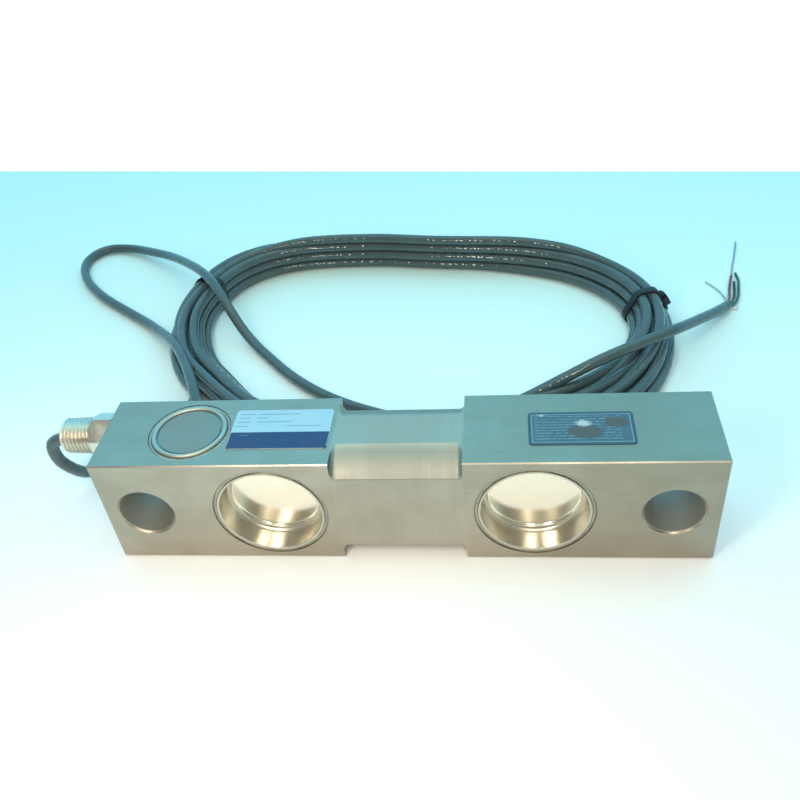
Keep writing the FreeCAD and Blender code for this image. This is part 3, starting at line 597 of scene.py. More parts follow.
@dataclass(frozen=True)
class CupSteel:
    """Bright steel of the cups, polished on the floor and rougher on the drawn wall, whose colour is darkened
    as painted shade.
    """

    bright: Colour = (1.0, 0.945, 0.81)
    worn: Colour = (0.95, 0.895, 0.76)
    # painted shade: darker colours for the drawn wall, standing for the dark reflections in the cup's sides
    wall: Colour = (0.625, 0.60, 0.51)
    shaded_wall_streak: Colour = (0.535, 0.51, 0.435)
    floor_roughness: float = 0.13
    wall_roughness: float = 0.31
    mark_rougher: float = 0.04
    middle: Point = (0.0443, 0.0, 0.022225)
    turn: Point = (math.radians(90.0), 0.0, 0.0)
    floor_end: float = 0.0080
    wall_start: float = 0.0090
    rings: float = 2200.0
    ring_share: float = 0.5
    marks_scale: float = 70.0
    streaks: Point = (900.0, 40.0, 900.0)
    relief: float = 0.0000006

    def make(self, kit: ShaderKit) -> bpy.types.Material:
        """Make the material.

        Args:
            kit: Shared surface effects.

        Returns:
            The finished material.
        """
        surface = Surface("cup_steel", 1.0)
        plan = surface.plan
        x, y, z = plan.parts(surface.place)
        folded = plan.join(plan.math("ABSOLUTE", x), y, z)
        about = surface.about(self.middle, self.turn, folded)
        rings = surface.group(kit.lathe, Vector=about, Rings=self.rings)[0]
        cloud, speck = surface.group(kit.marks, Vector=surface.place, Scale=self.marks_scale)
        shade = plan.weigh(self.ring_share, rings, cloud)
        colour = plan.blend(shade, self.worn, self.bright)
        streak = plan.noise(plan.vector("MULTIPLY", surface.place, self.streaks), 1.0)
        # painted shade: the wall takes the darker streaked colour
        drawn = plan.blend(streak, self.shaded_wall_streak, self.wall)
        on_wall = plan.ease(plan.math("ABSOLUTE", y), self.floor_end, self.wall_start)
        colour = plan.blend(on_wall, colour, drawn)
        rougher = self.wall_roughness - self.floor_roughness
        rough = plan.math("MULTIPLY_ADD", on_wall, rougher, self.floor_roughness)
        rough = plan.math("MULTIPLY_ADD", plan.math("ADD", cloud, speck), self.mark_rougher, rough)
        return surface.finish(colour, rough, rings, self.relief)


@dataclass(frozen=True)
class CoverSteel:
    """Pressed cover with a dull middle, a ring of painted shade inside the rim and a rolled rim with a
    painted highlight.
    """

    dull: Colour = (0.350, 0.328, 0.285)
    # painted shade: darker blue ring just inside the raised rim
    inner_ring_shade: Colour = (0.29, 0.34, 0.325)
    # painted highlight: the rolled rim is coloured lighter for the bright sky it reflects
    rim: Colour = (0.52, 0.54, 0.47)
    soiled: Colour = (0.30, 0.29, 0.25)
    middle: Point = (-0.072, 0.0, 0.0)
    ring_start: float = 0.0094
    ring_end: float = 0.0110
    rim_start: float = 0.01145
    rings: float = 1500.0
    marks_scale: float = 70.0
    cloud_share: float = 0.14
    ring_share: float = 0.06
    roughness: float = 0.46
    rougher: float = 0.10
    relief: float = 0.000002

    def make(self, kit: ShaderKit) -> bpy.types.Material:
        """Make the material.

        Args:
            kit: Shared surface effects.

        Returns:
            The finished material.
        """
        surface = Surface("cover_steel", 1.0)
        plan = surface.plan
        about = surface.about(self.middle)
        x, y, _ = plan.parts(about)
        away = plan.length(x, y)
        rings = surface.group(kit.lathe, Vector=about, Rings=self.rings)[0]
        cloud, _ = surface.group(kit.marks, Vector=surface.place, Scale=self.marks_scale)
        ring = plan.ease(away, self.ring_start, self.ring_end)
        # painted shade on the ring inside the rim, then a painted highlight on the rolled rim
        colour = plan.blend(ring, self.dull, self.inner_ring_shade)
        colour = plan.blend(plan.ease(away, self.ring_end, self.rim_start), colour, self.rim)
        ringed = plan.times(rings, self.ring_share)
        shade = plan.math("MULTIPLY_ADD", cloud, self.cloud_share, ringed)
        colour = plan.blend(shade, colour, self.soiled)
        rough = plan.math("MULTIPLY_ADD", cloud, self.rougher, self.roughness)
        return surface.finish(colour, rough, rings, self.relief)


@dataclass(frozen=True)
class WeldSteel:
    """Heat-tinted steel of the weld beads."""

    straw: Colour = (0.47, 0.435, 0.345)
    blue: Colour = (0.345, 0.33, 0.285)
    marks_scale: float = 150.0
    roughness: float = 0.28
    rougher: float = 0.15
    relief: float = 0.00001

    def make(self, kit: ShaderKit) -> bpy.types.Material:
        """Make the material.

        Args:
            kit: Shared surface effects.

        Returns:
            The finished material.
        """
        surface = Surface("weld_steel", 1.0)
        plan = surface.plan
        cloud, speck = surface.group(kit.marks, Vector=surface.place, Scale=self.marks_scale)
        colour = plan.blend(cloud, self.blue, self.straw)
        rough = plan.math("MULTIPLY_ADD", cloud, self.rougher, self.roughness)
        return surface.finish(colour, rough, speck, self.relief)


@dataclass(frozen=True)
class NameplatePrint:
    """Pale label with plain rules and a navy lower band."""

    pale: Colour = (0.318, 0.535, 0.655)
    faded: Colour = (0.44, 0.62, 0.68)
    navy: Colour = (0.015, 0.044, 0.135)
    rule: Colour = (0.07, 0.14, 0.20)
    chip: Colour = (0.40, 0.45, 0.46)
    nick: Colour = (0.45, 0.55, 0.58)
    rule_width: float = 0.00045
    rule_share: float = 0.55
    rules: tuple[tuple[float, float, float], ...] = (
        (0.0076, -0.0156, -0.0106), (0.0076, -0.0090, 0.0055), (0.0056, -0.0157, -0.0120),
        (0.0056, -0.0092, -0.0060), (0.0036, -0.0160, -0.0112), (0.0036, -0.0095, 0.0028),
        (0.0014, -0.0164, -0.0120), (0.0014, 0.0018, 0.0135),
    )
    border: float = -0.001
    border_blur: float = 0.00006
    fray_scale: float = 1800.0
    fray_reach: float = 0.00022
    half: tuple[float, float] = (0.01715, 0.00995)
    middle: Point = (-0.04005, 0.00065, 0.0447)
    marks_scale: float = 85.0
    fade_share: float = 0.22
    chip_start: float = -0.0001
    chip_reach: float = 0.0006
    chip_share: float = 0.75
    nick_lines: float = 1300.0
    nick_streak: float = 120.0
    nick_range: tuple[float, float] = (0.80, 0.96)
    nick_share: float = 0.35
    roughness: float = 0.26
    rougher: float = 0.18
    relief: float = 0.000008

    def make(self, kit: ShaderKit) -> bpy.types.Material:
        """Make the material.

        Args:
            kit: Shared surface effects.

        Returns:
            The finished material.
        """
        surface = Surface("nameplate_print", 0.0, Specular_IOR_Level=0.5)
        plan = surface.plan
        _, level, _ = plan.parts(surface.place)
        fray = plan.noise(surface.place, self.fray_scale)
        ragged = plan.math("MULTIPLY_ADD", plan.math("SUBTRACT", fray, 0.5), self.fray_reach, level)
        band = plan.ease(ragged, self.border - self.border_blur, self.border + self.border_blur, 1.0, 0.0)
        cloud, speck = surface.group(kit.marks, Vector=surface.place, Scale=self.marks_scale)
        paper = plan.blend(plan.times(cloud, self.fade_share), self.pale, self.faded)
        x, y, _ = plan.parts(surface.about(self.middle))
        colour = plan.blend(band, paper, self.navy)
        worn = plan.math("MULTIPLY_ADD", fray, self.chip_reach, self.chip_start)
        chipped = plan.math("LESS_THAN", plan.inset(x, y, self.half), worn)
        colour = plan.blend(plan.times(chipped, self.chip_share), colour, self.chip)
        for row, start, end in self.rules:
            tall = plan.math("COMPARE", y, row, self.rule_width / 2.0)
            wide = plan.math("COMPARE", x, (start + end) / 2.0, (end - start) / 2.0)
            printed = plan.times(plan.times(tall, wide), self.rule_share)
            colour = plan.blend(printed, colour, self.rule)
        scratch = surface.group(kit.grain, Vector=surface.place, Lines=self.nick_lines,
                                Streak=self.nick_streak)[0]
        nicked = plan.ease(plan.times(scratch, cloud), *self.nick_range)
        colour = plan.blend(plan.times(nicked, self.nick_share), colour, self.nick)
        rough = plan.math("MULTIPLY_ADD", cloud, self.rougher, self.roughness)
        return surface.finish(colour, rough, plan.math("SUBTRACT", speck, band), self.relief)


@dataclass(frozen=True)
class RatingPrint:
    """Dark label with a thin pale frame, plain rows and worn patches."""

    ground: Colour = (0.035, 0.085, 0.125)
    lighter: Colour = (0.075, 0.165, 0.215)
    frame: Colour = (0.17, 0.31, 0.38)
    scuff: Colour = (0.46, 0.55, 0.58)
    bare: Colour = (0.075, 0.078, 0.070)
    half: tuple[float, float] = (0.0169, 0.00785)
    middle: Point = (0.0595, -0.001, 0.0447)
    frame_inset: float = 0.00115
    frame_half: float = 0.0002
    frame_share: float = 0.85
    field_inset: float = 0.0014
    tone: float = 0.25
    tone_uneven: float = 0.3
    marks_scale: float = 120.0
    rule_pitch: float = 0.00135
    rule_fill: float = 0.2
    rule_middle: float = -0.0012
    rule_reach: float = 0.0138
    rule_rows: float = 0.0060
    rule_share: float = 0.6
    break_scale: Point = (700.0, 2200.0, 1.0)
    break_range: tuple[float, float] = (0.38, 0.52)
    bare_spots: tuple[Point, ...] = ((0.0014, -0.0018, 0.0078), (0.0112, 0.0026, 0.0062))
    scuff_spots: tuple[Point, ...] = ((0.0008, 0.0022, 0.0046), (-0.0128, 0.0063, 0.0029))
    spot_squash: float = 1.7
    spot_ragged: float = 0.006
    spot_blur: float = 0.0016
    spot_share: float = 0.9
    ragged_scale: float = 520.0
    roughness: float = 0.3
    rougher: float = 0.2
    relief: float = 0.000006

    def make(self, kit: ShaderKit) -> bpy.types.Material:
        """Make the material.

        Args:
            kit: Shared surface effects.

        Returns:
            The finished material.
        """
        surface = Surface("rating_print", 0.0, Specular_IOR_Level=0.5)
        plan = surface.plan
        x, y, _ = plan.parts(surface.about(self.middle))
        edge = plan.inset(x, y, self.half)
        line = plan.math("COMPARE", edge, self.frame_inset, self.frame_half)
        cloud, speck = surface.group(kit.marks, Vector=surface.place, Scale=self.marks_scale)
        inside = plan.math("GREATER_THAN", edge, self.field_inset)
        tone = plan.times(inside, plan.math("MULTIPLY_ADD", cloud, self.tone_uneven, self.tone))
        colour = plan.blend(tone, self.ground, self.lighter)
        colour = plan.blend(plan.times(line, self.frame_share), colour, self.frame)
        row = plan.math("PINGPONG", plan.math("ADD", y, self.half[1]), self.rule_pitch / 2.0)
        ruled = plan.math("LESS_THAN", row, self.rule_pitch * self.rule_fill)
        ruled = plan.times(ruled, plan.math("COMPARE", x, self.rule_middle, self.rule_reach))
        near = plan.math("LESS_THAN", plan.math("ABSOLUTE", y), self.rule_rows)
        ruled = plan.times(ruled, near)
        gaps = plan.noise(plan.vector("MULTIPLY", surface.place, self.break_scale), 1.0, detail=1.0)
        ruled = plan.times(ruled, plan.ease(gaps, *self.break_range))
        colour = plan.blend(plan.times(ruled, self.rule_share), colour, self.frame)
        ragged = plan.noise(surface.place, self.ragged_scale, detail=4.0, rough=0.7)
        for paint, spots in ((self.bare, self.bare_spots), (self.scuff, self.scuff_spots)):
            for spot_x, spot_y, reach in spots:
                away_x = plan.math("SUBTRACT", x, spot_x)
                away_y = plan.times(plan.math("SUBTRACT", y, spot_y), self.spot_squash)
                away = plan.math("MULTIPLY_ADD", ragged, self.spot_ragged, plan.length(away_x, away_y))
                mask = plan.ease(away, reach, reach + self.spot_blur, self.spot_share, 0.0)
                colour = plan.blend(mask, colour, paint)
        rough = plan.math("MULTIPLY_ADD", cloud, self.rougher, self.roughness)
        return surface.finish(colour, rough, speck, self.relief)


@dataclass(frozen=True)
class Skin:
    """Moulded or extruded plastic, rubber, resin or laminate."""

    name: str
    light: Colour
    dark: Colour
    roughness: float
    scale: float = 900.0
    wave: float = 180.0
    relief: float = 0.00002
    specular: float = 0.5
    wave_share: float = 0.0
    marks_scale: float = 60.0
    cloud_share: float = 0.6
    smoothest: float = 0.8
    uneven: float = 0.4

    def make(self, kit: ShaderKit) -> bpy.types.Material:
        """Make the material.

        Args:
            kit: Shared surface effects.

        Returns:
            The finished material.
        """
        surface = Surface(self.name, 0.0, Specular_IOR_Level=self.specular)
        plan = surface.plan
        skin, wave = surface.group(kit.pebble, Vector=surface.place, Scale=self.scale, Wave=self.wave)
        cloud, _ = surface.group(kit.marks, Vector=surface.place, Scale=self.marks_scale)
        shade = plan.weigh(self.cloud_share, cloud, skin)
        colour = plan.blend(shade, self.dark, self.light)
        swing = self.roughness * self.uneven
        rough = plan.math("MULTIPLY_ADD", cloud, swing, self.roughness * self.smoothest)
        return surface.finish(colour, rough, plan.weigh(self.wave_share, wave, skin), self.relief)


@dataclass(frozen=True)
class BareMetal:
    """Tinned or foil metal with a soft uneven shine."""

    name: str
    light: Colour
    dark: Colour
    roughness: float
    scale: float = 400.0
    rougher: float = 0.15
    relief: float = 0.000004

    def make(self, kit: ShaderKit) -> bpy.types.Material:
        """Make the material.

        Args:
            kit: Shared surface effects.

        Returns:
            The finished material.
        """
        surface = Surface(self.name, 1.0)
        plan = surface.plan
        cloud, speck = surface.group(kit.marks, Vector=surface.place, Scale=self.scale)
        colour = plan.blend(cloud, self.dark, self.light)
        rough = plan.math("MULTIPLY_ADD", cloud, self.rougher, self.roughness)
        return surface.finish(colour, rough, speck, self.relief)


class Finishes:
    """Every finish of the load cell, made once."""

    def __init__(self) -> None:
        """Make the materials."""
        kit = ShaderKit()
        self.beam = GroundSteel().make(kit)
        self.cup = CupSteel().make(kit)
        self.cover = CoverSteel().make(kit)
        self.fitting = SpunSteel("fitting_steel", light=(0.88, 0.83, 0.73), dark=(0.69, 0.645, 0.56),
                                 roughness=0.36, middle=(0.0, 0.0082, 0.0362),
                                 turn=(0.0, math.radians(90.0), 0.0), rings=1800.0).make(kit)
        self.weld = WeldSteel().make(kit)
        self.nameplate = NameplatePrint().make(kit)
        self.rating = RatingPrint().make(kit)
        # painted sheen: the black jacket's colour is lifted and tinted cyan to stand for the cyan sky it
        # reflects
        self.jacket = Skin("cable_jacket", light=(0.083, 0.127, 0.134), dark=(0.065, 0.104, 0.111),
                           roughness=0.07, scale=1500.0, wave=330.0, relief=0.00013, specular=0.46,
                           wave_share=0.96).make(kit)
        self.tie = Skin("tie_plastic", light=(0.016, 0.017, 0.019), dark=(0.008, 0.009, 0.010),
                        roughness=0.30, scale=1200.0).make(kit)
        self.red = Skin("red_insulation", light=(0.22, 0.045, 0.085), dark=(0.15, 0.03, 0.06),
                        roughness=0.34, scale=2500.0).make(kit)
        self.black = Skin("black_insulation", light=(0.018, 0.019, 0.022), dark=(0.009, 0.010, 0.012),
                          roughness=0.34, scale=2500.0).make(kit)
        self.green = Skin("green_insulation", light=(0.016, 0.13, 0.095), dark=(0.010, 0.085, 0.065),
                          roughness=0.34, scale=2500.0).make(kit)
        self.white = Skin("white_insulation", light=(0.76, 0.77, 0.75), dark=(0.66, 0.67, 0.66),
                          roughness=0.38, scale=2500.0).make(kit)
        self.tinned = BareMetal("tinned_wire", light=(0.62, 0.61, 0.60), dark=(0.40, 0.40, 0.41),
                                roughness=0.32, scale=900.0).make(kit)
        self.foil = BareMetal("gauge_foil", light=(0.70, 0.48, 0.24), dark=(0.52, 0.34, 0.16),
                              roughness=0.34, scale=260.0).make(kit)
        self.board = Skin("board_laminate", light=(0.03, 0.16, 0.07), dark=(0.02, 0.11, 0.05),
                          roughness=0.36, scale=1400.0).make(kit)
        self.pad = Skin("pad_foam", light=(0.62, 0.60, 0.54), dark=(0.50, 0.48, 0.43), roughness=0.85,
                        scale=1800.0, relief=0.00012).make(kit)
        self.resistor = Skin("resistor_body", light=(0.06, 0.10, 0.19), dark=(0.04, 0.07, 0.14),
                             roughness=0.42, scale=1600.0).make(kit)
        self.rubber = Skin("seal_rubber", light=(0.035, 0.035, 0.036), dark=(0.02, 0.02, 0.021),
                           roughness=0.6, scale=1500.0).make(kit)
        self.resin = Skin("potting_resin", light=(0.055, 0.05, 0.045), dark=(0.035, 0.032, 0.03),
                          roughness=0.2, scale=500.0).make(kit)
        self.loom = Skin("loom_insulation", light=(0.55, 0.20, 0.05), dark=(0.44, 0.15, 0.035),
                         roughness=0.4, scale=2200.0).make(kit)


class Workshop:
    """Turns meshes into pieces of the part."""

    def __init__(self, nodes: Mapping[str, bpy.types.Object]) -> None:
        """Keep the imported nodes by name."""
        self.nodes = nodes

    def dress(self, node: str, material: bpy.types.Material) -> None:
        """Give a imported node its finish.

        Args:
            node: Name of the node.
            material: Finish of the node.
        """
        shown = self.nodes[node]
        shown.data.materials.clear()
        shown.data.materials.append(material)
        LOG.info("dressed %s with %s", node, material.name)

    def piece(self, name: str, mesh: bpy.types.Mesh, material: bpy.types.Material,
              replaces: Sequence[str] = (), sharp: float = 35.0) -> bpy.types.Object:
        """Make a finished piece that rides with the part.

        Args:
            name: Name of the piece.
            mesh: Mesh with its place in its points.
            material: Finish of the piece.
            replaces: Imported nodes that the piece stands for.
            sharp: Angle in degrees above which an edge stays sharp.

        Returns:
            The piece.
        """
        mesh.name = name
        mesh.materials.clear()
        mesh.materials.append(material)
        mesh.shade_smooth()
        mesh.set_sharp_from_angle(angle=math.radians(sharp))
        made = bpy.data.objects.new(name, mesh)
        show(made)
        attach(made, "root")
        if replaces:
            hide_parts(*replaces)
        LOG.info("made %s with %d faces", name, len(mesh.polygons))
        return made

    @staticmethod
    def spin(rows: Sequence[tuple[float, RadiusRule]], steps: int, turn: float = 0.0) -> bpy.types.Mesh:
        """Turn a closed profile about the Z axis.

        Args:
            rows: Height and radius of each corner; a radius may depend on the angle.
            steps: Points round a ring.
            turn: Angle of the first point.

        Returns:
            The closed mesh.
        """
        shape = bmesh.new()
        rings = []
        for height, rule in rows:
            ring = []
            for step in range(steps):
                angle = turn + 2.0 * math.pi * step / steps
                radius = rule(angle) if callable(rule) else rule
                ring.append(shape.verts.new((radius * math.cos(angle), radius * math.sin(angle), height)))
            rings.append(ring)
        for lower, upper in zip(rings, rings[1:] + rings[:1]):
            for step in range(steps):
                after = (step + 1) % steps
                shape.faces.new((lower[step], lower[after], upper[after], upper[step]))
        bmesh.ops.remove_doubles(shape, verts=shape.verts, dist=1e-7)
        bmesh.ops.dissolve_degenerate(shape, edges=shape.edges, dist=1e-8)
        bmesh.ops.recalc_face_normals(shape, faces=shape.faces)
        mesh = bpy.data.meshes.new("spun")
        shape.to_mesh(mesh)
        shape.free()
        return mesh

    @staticmethod
    def merge(meshes: Sequence[bpy.types.Mesh]) -> bpy.types.Mesh:
        """Put several meshes into one.

        Args:
            meshes: Meshes in the same frame.

        Returns:
            The whole mesh.
        """
        shape = bmesh.new()
        for mesh in meshes:
            shape.from_mesh(mesh)
        whole = bpy.data.meshes.new("whole")
        shape.to_mesh(whole)
        shape.free()
        return whole

    @staticmethod
    def bake(holder: bpy.types.Object) -> bpy.types.Mesh:
        """Read an object's finished shape as a plain mesh and drop the object.

        Args:
            holder: Object with a curve, or with modifiers.

        Returns:
            The finished mesh.
        """
        show(holder)
        bpy.context.view_layer.update()
        mesh = bpy.data.meshes.new_from_object(holder.evaluated_get(bpy.context.evaluated_depsgraph_get()))
        bpy.data.objects.remove(holder)
        return mesh

    @classmethod
    def route(cls, points: Sequence[Vector], resolution: int = 8) -> bpy.types.Mesh:
        """Read the points of a smooth spline as a chain of edges.

        Args:
            points: Control points of the spline.
            resolution: Steps between control points.

        Returns:
            A mesh of edges along the spline.
        """
        line = spline_curve("route", points, resolution)
        mesh = cls.bake(bpy.data.objects.new("route", line))
        bpy.data.curves.remove(line)
        return mesh

    @classmethod
    def grow(cls, tree: bpy.types.NodeTree, values: Mapping[str, Any],
             base: bpy.types.Mesh | None = None) -> bpy.types.Mesh:
        """Run a geometry tree and keep its result as a plain mesh.

        Args:
            tree: The geometry tree.
            values: Values of the tree's named inputs.
            base: Mesh that the tree starts from.

        Returns:
            The finished mesh.
        """
        holder = bpy.data.objects.new("grown", base or bpy.data.meshes.new("base"))
        change = holder.modifiers.new("growth", "NODES")
        change.node_group = tree
        for item in tree.interface.items_tree:
            if item.in_out == "INPUT" and item.name in values:
                change[item.identifier] = values[item.name]
        return cls.bake(holder)


def spline_curve(name: str, points: Sequence[Vector], resolution: int) -> bpy.types.Curve:
    """Make a curve of one smooth open spline.

    Args:
        name: Name of the curve.
        points: Control points.
        resolution: Steps between control points.

    Returns:
        The curve.
    """
    line = bpy.data.curves.new(name, "CURVE")
    line.dimensions = "3D"
    line.resolution_u = resolution
    spline = line.splines.new("NURBS")
    spline.points.add(len(points) - 1)
    for knot, point in zip(spline.points, points):
        knot.co = (*point, 1.0)
    spline.order_u = 3
    spline.use_endpoint_u = True
    spline.resolution_u = resolution
    return line


class GrowthKit:
    """Geometry trees for what repeats or follows a path."""

    bead_range: tuple[float, float] = (0.85, 1.15)
    bead_seed: int = 7
    thread_sides: int = 72
    thread_rows: int = 190
    crest_flat: float = 1.16
    end_share: float = 0.001
    strand_step: float = 0.6 * MM
    rib_share: float = 0.45
    rib_width: float = 0.72

    def __init__(self) -> None:
        """Build the trees."""
        self.beads = self._beads()
        self.thread = self._thread()
        self.strands = self._strands()
        self.band = self._band()

    @staticmethod
    def _start(name: str, inputs: Sequence[tuple[str, str]]) -> tuple[Plan, Any, Any]:
        """Start a tree with its sockets.

        Args:
            name: Name of the tree.
            inputs: Name and kind of each input after the geometry.

        Returns:
            The tree's plan, its input node and its output node.
        """
        tree = bpy.data.node_groups.new(name, "GeometryNodeTree")
        tree.is_modifier = True
        for label, kind in [("Geometry", "Geometry"), *inputs]:
            tree.interface.new_socket(name=label, in_out="INPUT", socket_type="NodeSocket" + kind)
        tree.interface.new_socket(name="Geometry", in_out="OUTPUT", socket_type="NodeSocketGeometry")
        return Plan(tree), tree.nodes.new("NodeGroupInput"), tree.nodes.new("NodeGroupOutput")

    @staticmethod
    def _close(plan: Plan, given: Any, out: Any, geometry: bpy.types.NodeSocket) -> bpy.types.NodeTree:
        """Realise the geometry, give it its material and end the tree.

        Args:
            plan: The tree's plan.
            given: The tree's input node.
            out: The tree's output node.
            geometry: What the tree has made.

        Returns:
            The finished tree.
        """
        real = plan.node("GeometryNodeRealizeInstances", {0: geometry}).outputs[0]
        sockets = {"Geometry": real, "Material": given.outputs["Material"]}
        painted = plan.node("GeometryNodeSetMaterial", sockets)
        plan.feed(out.inputs[0], painted.outputs[0])
        return plan.tree

    def _beads(self) -> bpy.types.NodeTree:
        """Overlapping weld beads round a circle in the XY plane.

        Returns:
            The finished tree.
        """
        plan, given, out = self._start("weld_bead_ring", [
            ("Radius", "Float"), ("Count", "Int"), ("Bead", "Vector"), ("Material", "Material")])
        ring = plan.node("GeometryNodeCurvePrimitiveCircle", {
            "Resolution": 128, "Radius": given.outputs["Radius"]})
        stops = plan.node("GeometryNodeCurveToPoints", {
            "Curve": ring.outputs[0], "Count": given.outputs["Count"]}, mode="COUNT")
        bead = plan.node("GeometryNodeMeshUVSphere", {"Segments": 10, "Rings": 6, "Radius": 1.0})
        low, high = self.bead_range
        draw = {2: low, 3: high, "Seed": self.bead_seed}
        jitter = plan.node("FunctionNodeRandomValue", draw, data_type="FLOAT").outputs[1]
        scaled = {0: given.outputs["Bead"], 3: jitter}
        size = plan.node("ShaderNodeVectorMath", scaled, operation="SCALE")
        placed = plan.node("GeometryNodeInstanceOnPoints", {
            "Points": stops.outputs[0], "Instance": bead.outputs[0], "Rotation": self._along(plan, stops),
            "Scale": size.outputs[0]})
        return self._close(plan, given, out, placed.outputs[0])

    @staticmethod
    def _along(plan: Plan, stops: bpy.types.Node) -> bpy.types.NodeSocket:
        """Turn the X axis along the path at each stop."""
        sockets = {"Vector": stops.outputs["Tangent"]}
        return plan.node("FunctionNodeAlignRotationToVector", sockets, axis="X").outputs[0]

    def _thread(self) -> bpy.types.NodeTree:
        """Tapered screw thread about the Z axis, from height 0 to its length.

        Returns:
            The finished tree.
        """
        plan, given, out = self._start("pipe_thread", [
            ("Length", "Float"), ("Crest", "Float"), ("Depth", "Float"), ("Pitch", "Float"),
            ("Taper", "Float"), ("Runout", "Float"), ("Core", "Float"), ("Material", "Material")])
        sleeve = plan.node("GeometryNodeMeshCylinder", {
            "Vertices": self.thread_sides, "Side Segments": self.thread_rows, "Radius": 1.0, "Depth": 1.0},
            fill_type="NONE")
        x, y, z = plan.parts(plan.node("GeometryNodeInputPosition").outputs[0])
        share = plan.math("ADD", z, 0.5)
        height = plan.times(share, given.outputs["Length"])
        around = plan.math("DIVIDE", plan.math("ARCTAN2", y, x), 2.0 * math.pi)
        turns = plan.math("DIVIDE", height, given.outputs["Pitch"])
        phase = plan.math("FRACT", plan.math("SUBTRACT", turns, around))
        ridge = plan.math("SUBTRACT", 1.0, plan.math("ABSOLUTE", plan.math("MULTIPLY_ADD", phase, 2.0, -1.0)))
        ridge = plan.math("MINIMUM", plan.times(ridge, self.crest_flat), 1.0)
        left = plan.math("MINIMUM", height, plan.math("SUBTRACT", given.outputs["Length"], height))
        fade = plan.math("MINIMUM", plan.math("DIVIDE", left, given.outputs["Runout"]), 1.0)
        cut = plan.math("SUBTRACT", 1.0, plan.times(ridge, fade))
        crest = plan.math("MULTIPLY_ADD", height, plan.times(given.outputs["Taper"], -1.0),
                          given.outputs["Crest"])
        radius = plan.math("MULTIPLY_ADD", cut, plan.times(given.outputs["Depth"], -1.0), crest)
        nearest = plan.math("MINIMUM", share, plan.math("SUBTRACT", 1.0, share))
        at_end = plan.math("LESS_THAN", nearest, self.end_share)
        inward = plan.math("SUBTRACT", given.outputs["Core"], radius)
        tucked = plan.math("MULTIPLY_ADD", at_end, inward, radius)
        spot = plan.join(plan.times(x, tucked), plan.times(y, tucked), height)
        shaped = plan.node("GeometryNodeSetPosition", {"Geometry": sleeve.outputs[0], "Position": spot})
        return self._close(plan, given, out, shaped.outputs[0])

    def _strands(self) -> bpy.types.NodeTree:
        """Twisted strands along a chain of edges.

        Returns:
            The finished tree.
        """
        plan, given, out = self._start("twisted_strands", [
            ("Strands", "Int"), ("Bundle", "Float"), ("Strand", "Float"), ("Twist", "Float"),
            ("Material", "Material")])
        line = plan.node("GeometryNodeMeshToCurve", {0: given.outputs["Geometry"]}).outputs[0]
        steps = {"Curve": line, "Length": self.strand_step}
        even = plan.node("GeometryNodeResampleCurve", steps, mode="LENGTH").outputs[0]
        length = plan.node("GeometryNodeSplineParameter").outputs["Length"]
        tilt = plan.times(length, given.outputs["Twist"])
        turned = plan.node("GeometryNodeSetCurveTilt", {"Curve": even, "Tilt": tilt}).outputs[0]
        middles = plan.node("GeometryNodeMeshCircle", {
            "Vertices": given.outputs["Strands"], "Radius": given.outputs["Bundle"]})
        section = plan.node("GeometryNodeCurvePrimitiveCircle", {
            "Resolution": 8, "Radius": given.outputs["Strand"]})
        placed = plan.node("GeometryNodeInstanceOnPoints", {
            "Points": middles.outputs[0], "Instance": section.outputs[0]}).outputs[0]
        profile = plan.node("GeometryNodeRealizeInstances", {0: placed}).outputs[0]
        swept = plan.node("GeometryNodeCurveToMesh", {
            "Curve": turned, "Profile Curve": profile, "Fill Caps": True}).outputs[0]
        return self._close(plan, given, out, swept)

    def _band(self) -> bpy.types.NodeTree:
        """Flat band with fine cross ribs along a closed chain of edges in the XY plane.

        Returns:
            The finished tree.
        """
        plan, given, out = self._start("ribbed_band", [
            ("Width", "Float"), ("Thickness", "Float"), ("Rib Pitch", "Float"), ("Rib Height", "Float"),
            ("Material", "Material")])
        line = plan.node("GeometryNodeMeshToCurve", {0: given.outputs["Geometry"]}).outputs[0]
        profile = plan.node("GeometryNodeCurvePrimitiveQuadrilateral", {
            "Width": given.outputs["Thickness"], "Height": given.outputs["Width"]}).outputs[0]
        strap = plan.node("GeometryNodeCurveToMesh", {"Curve": line, "Profile Curve": profile}).outputs[0]
        stops = plan.node("GeometryNodeCurveToPoints", {
            "Curve": line, "Length": given.outputs["Rib Pitch"]}, mode="LENGTH")
        thick = plan.math("MULTIPLY_ADD", given.outputs["Rib Height"], 2.0, given.outputs["Thickness"])
        size = plan.join(plan.times(given.outputs["Rib Pitch"], self.rib_share), thick,
                         plan.times(given.outputs["Width"], self.rib_width))
        rib = plan.node("GeometryNodeMeshCube", {"Size": size}).outputs[0]
        ribs = plan.node("GeometryNodeInstanceOnPoints", {
            "Points": stops.outputs[0], "Instance": rib, "Rotation": self._along(plan, stops)}).outputs[0]
        both = plan.node("GeometryNodeJoinGeometry")
        plan.feed(both.inputs[0], strap)
        plan.feed(both.inputs[0], ribs)
        return self._close(plan, given, out, both.outputs[0])


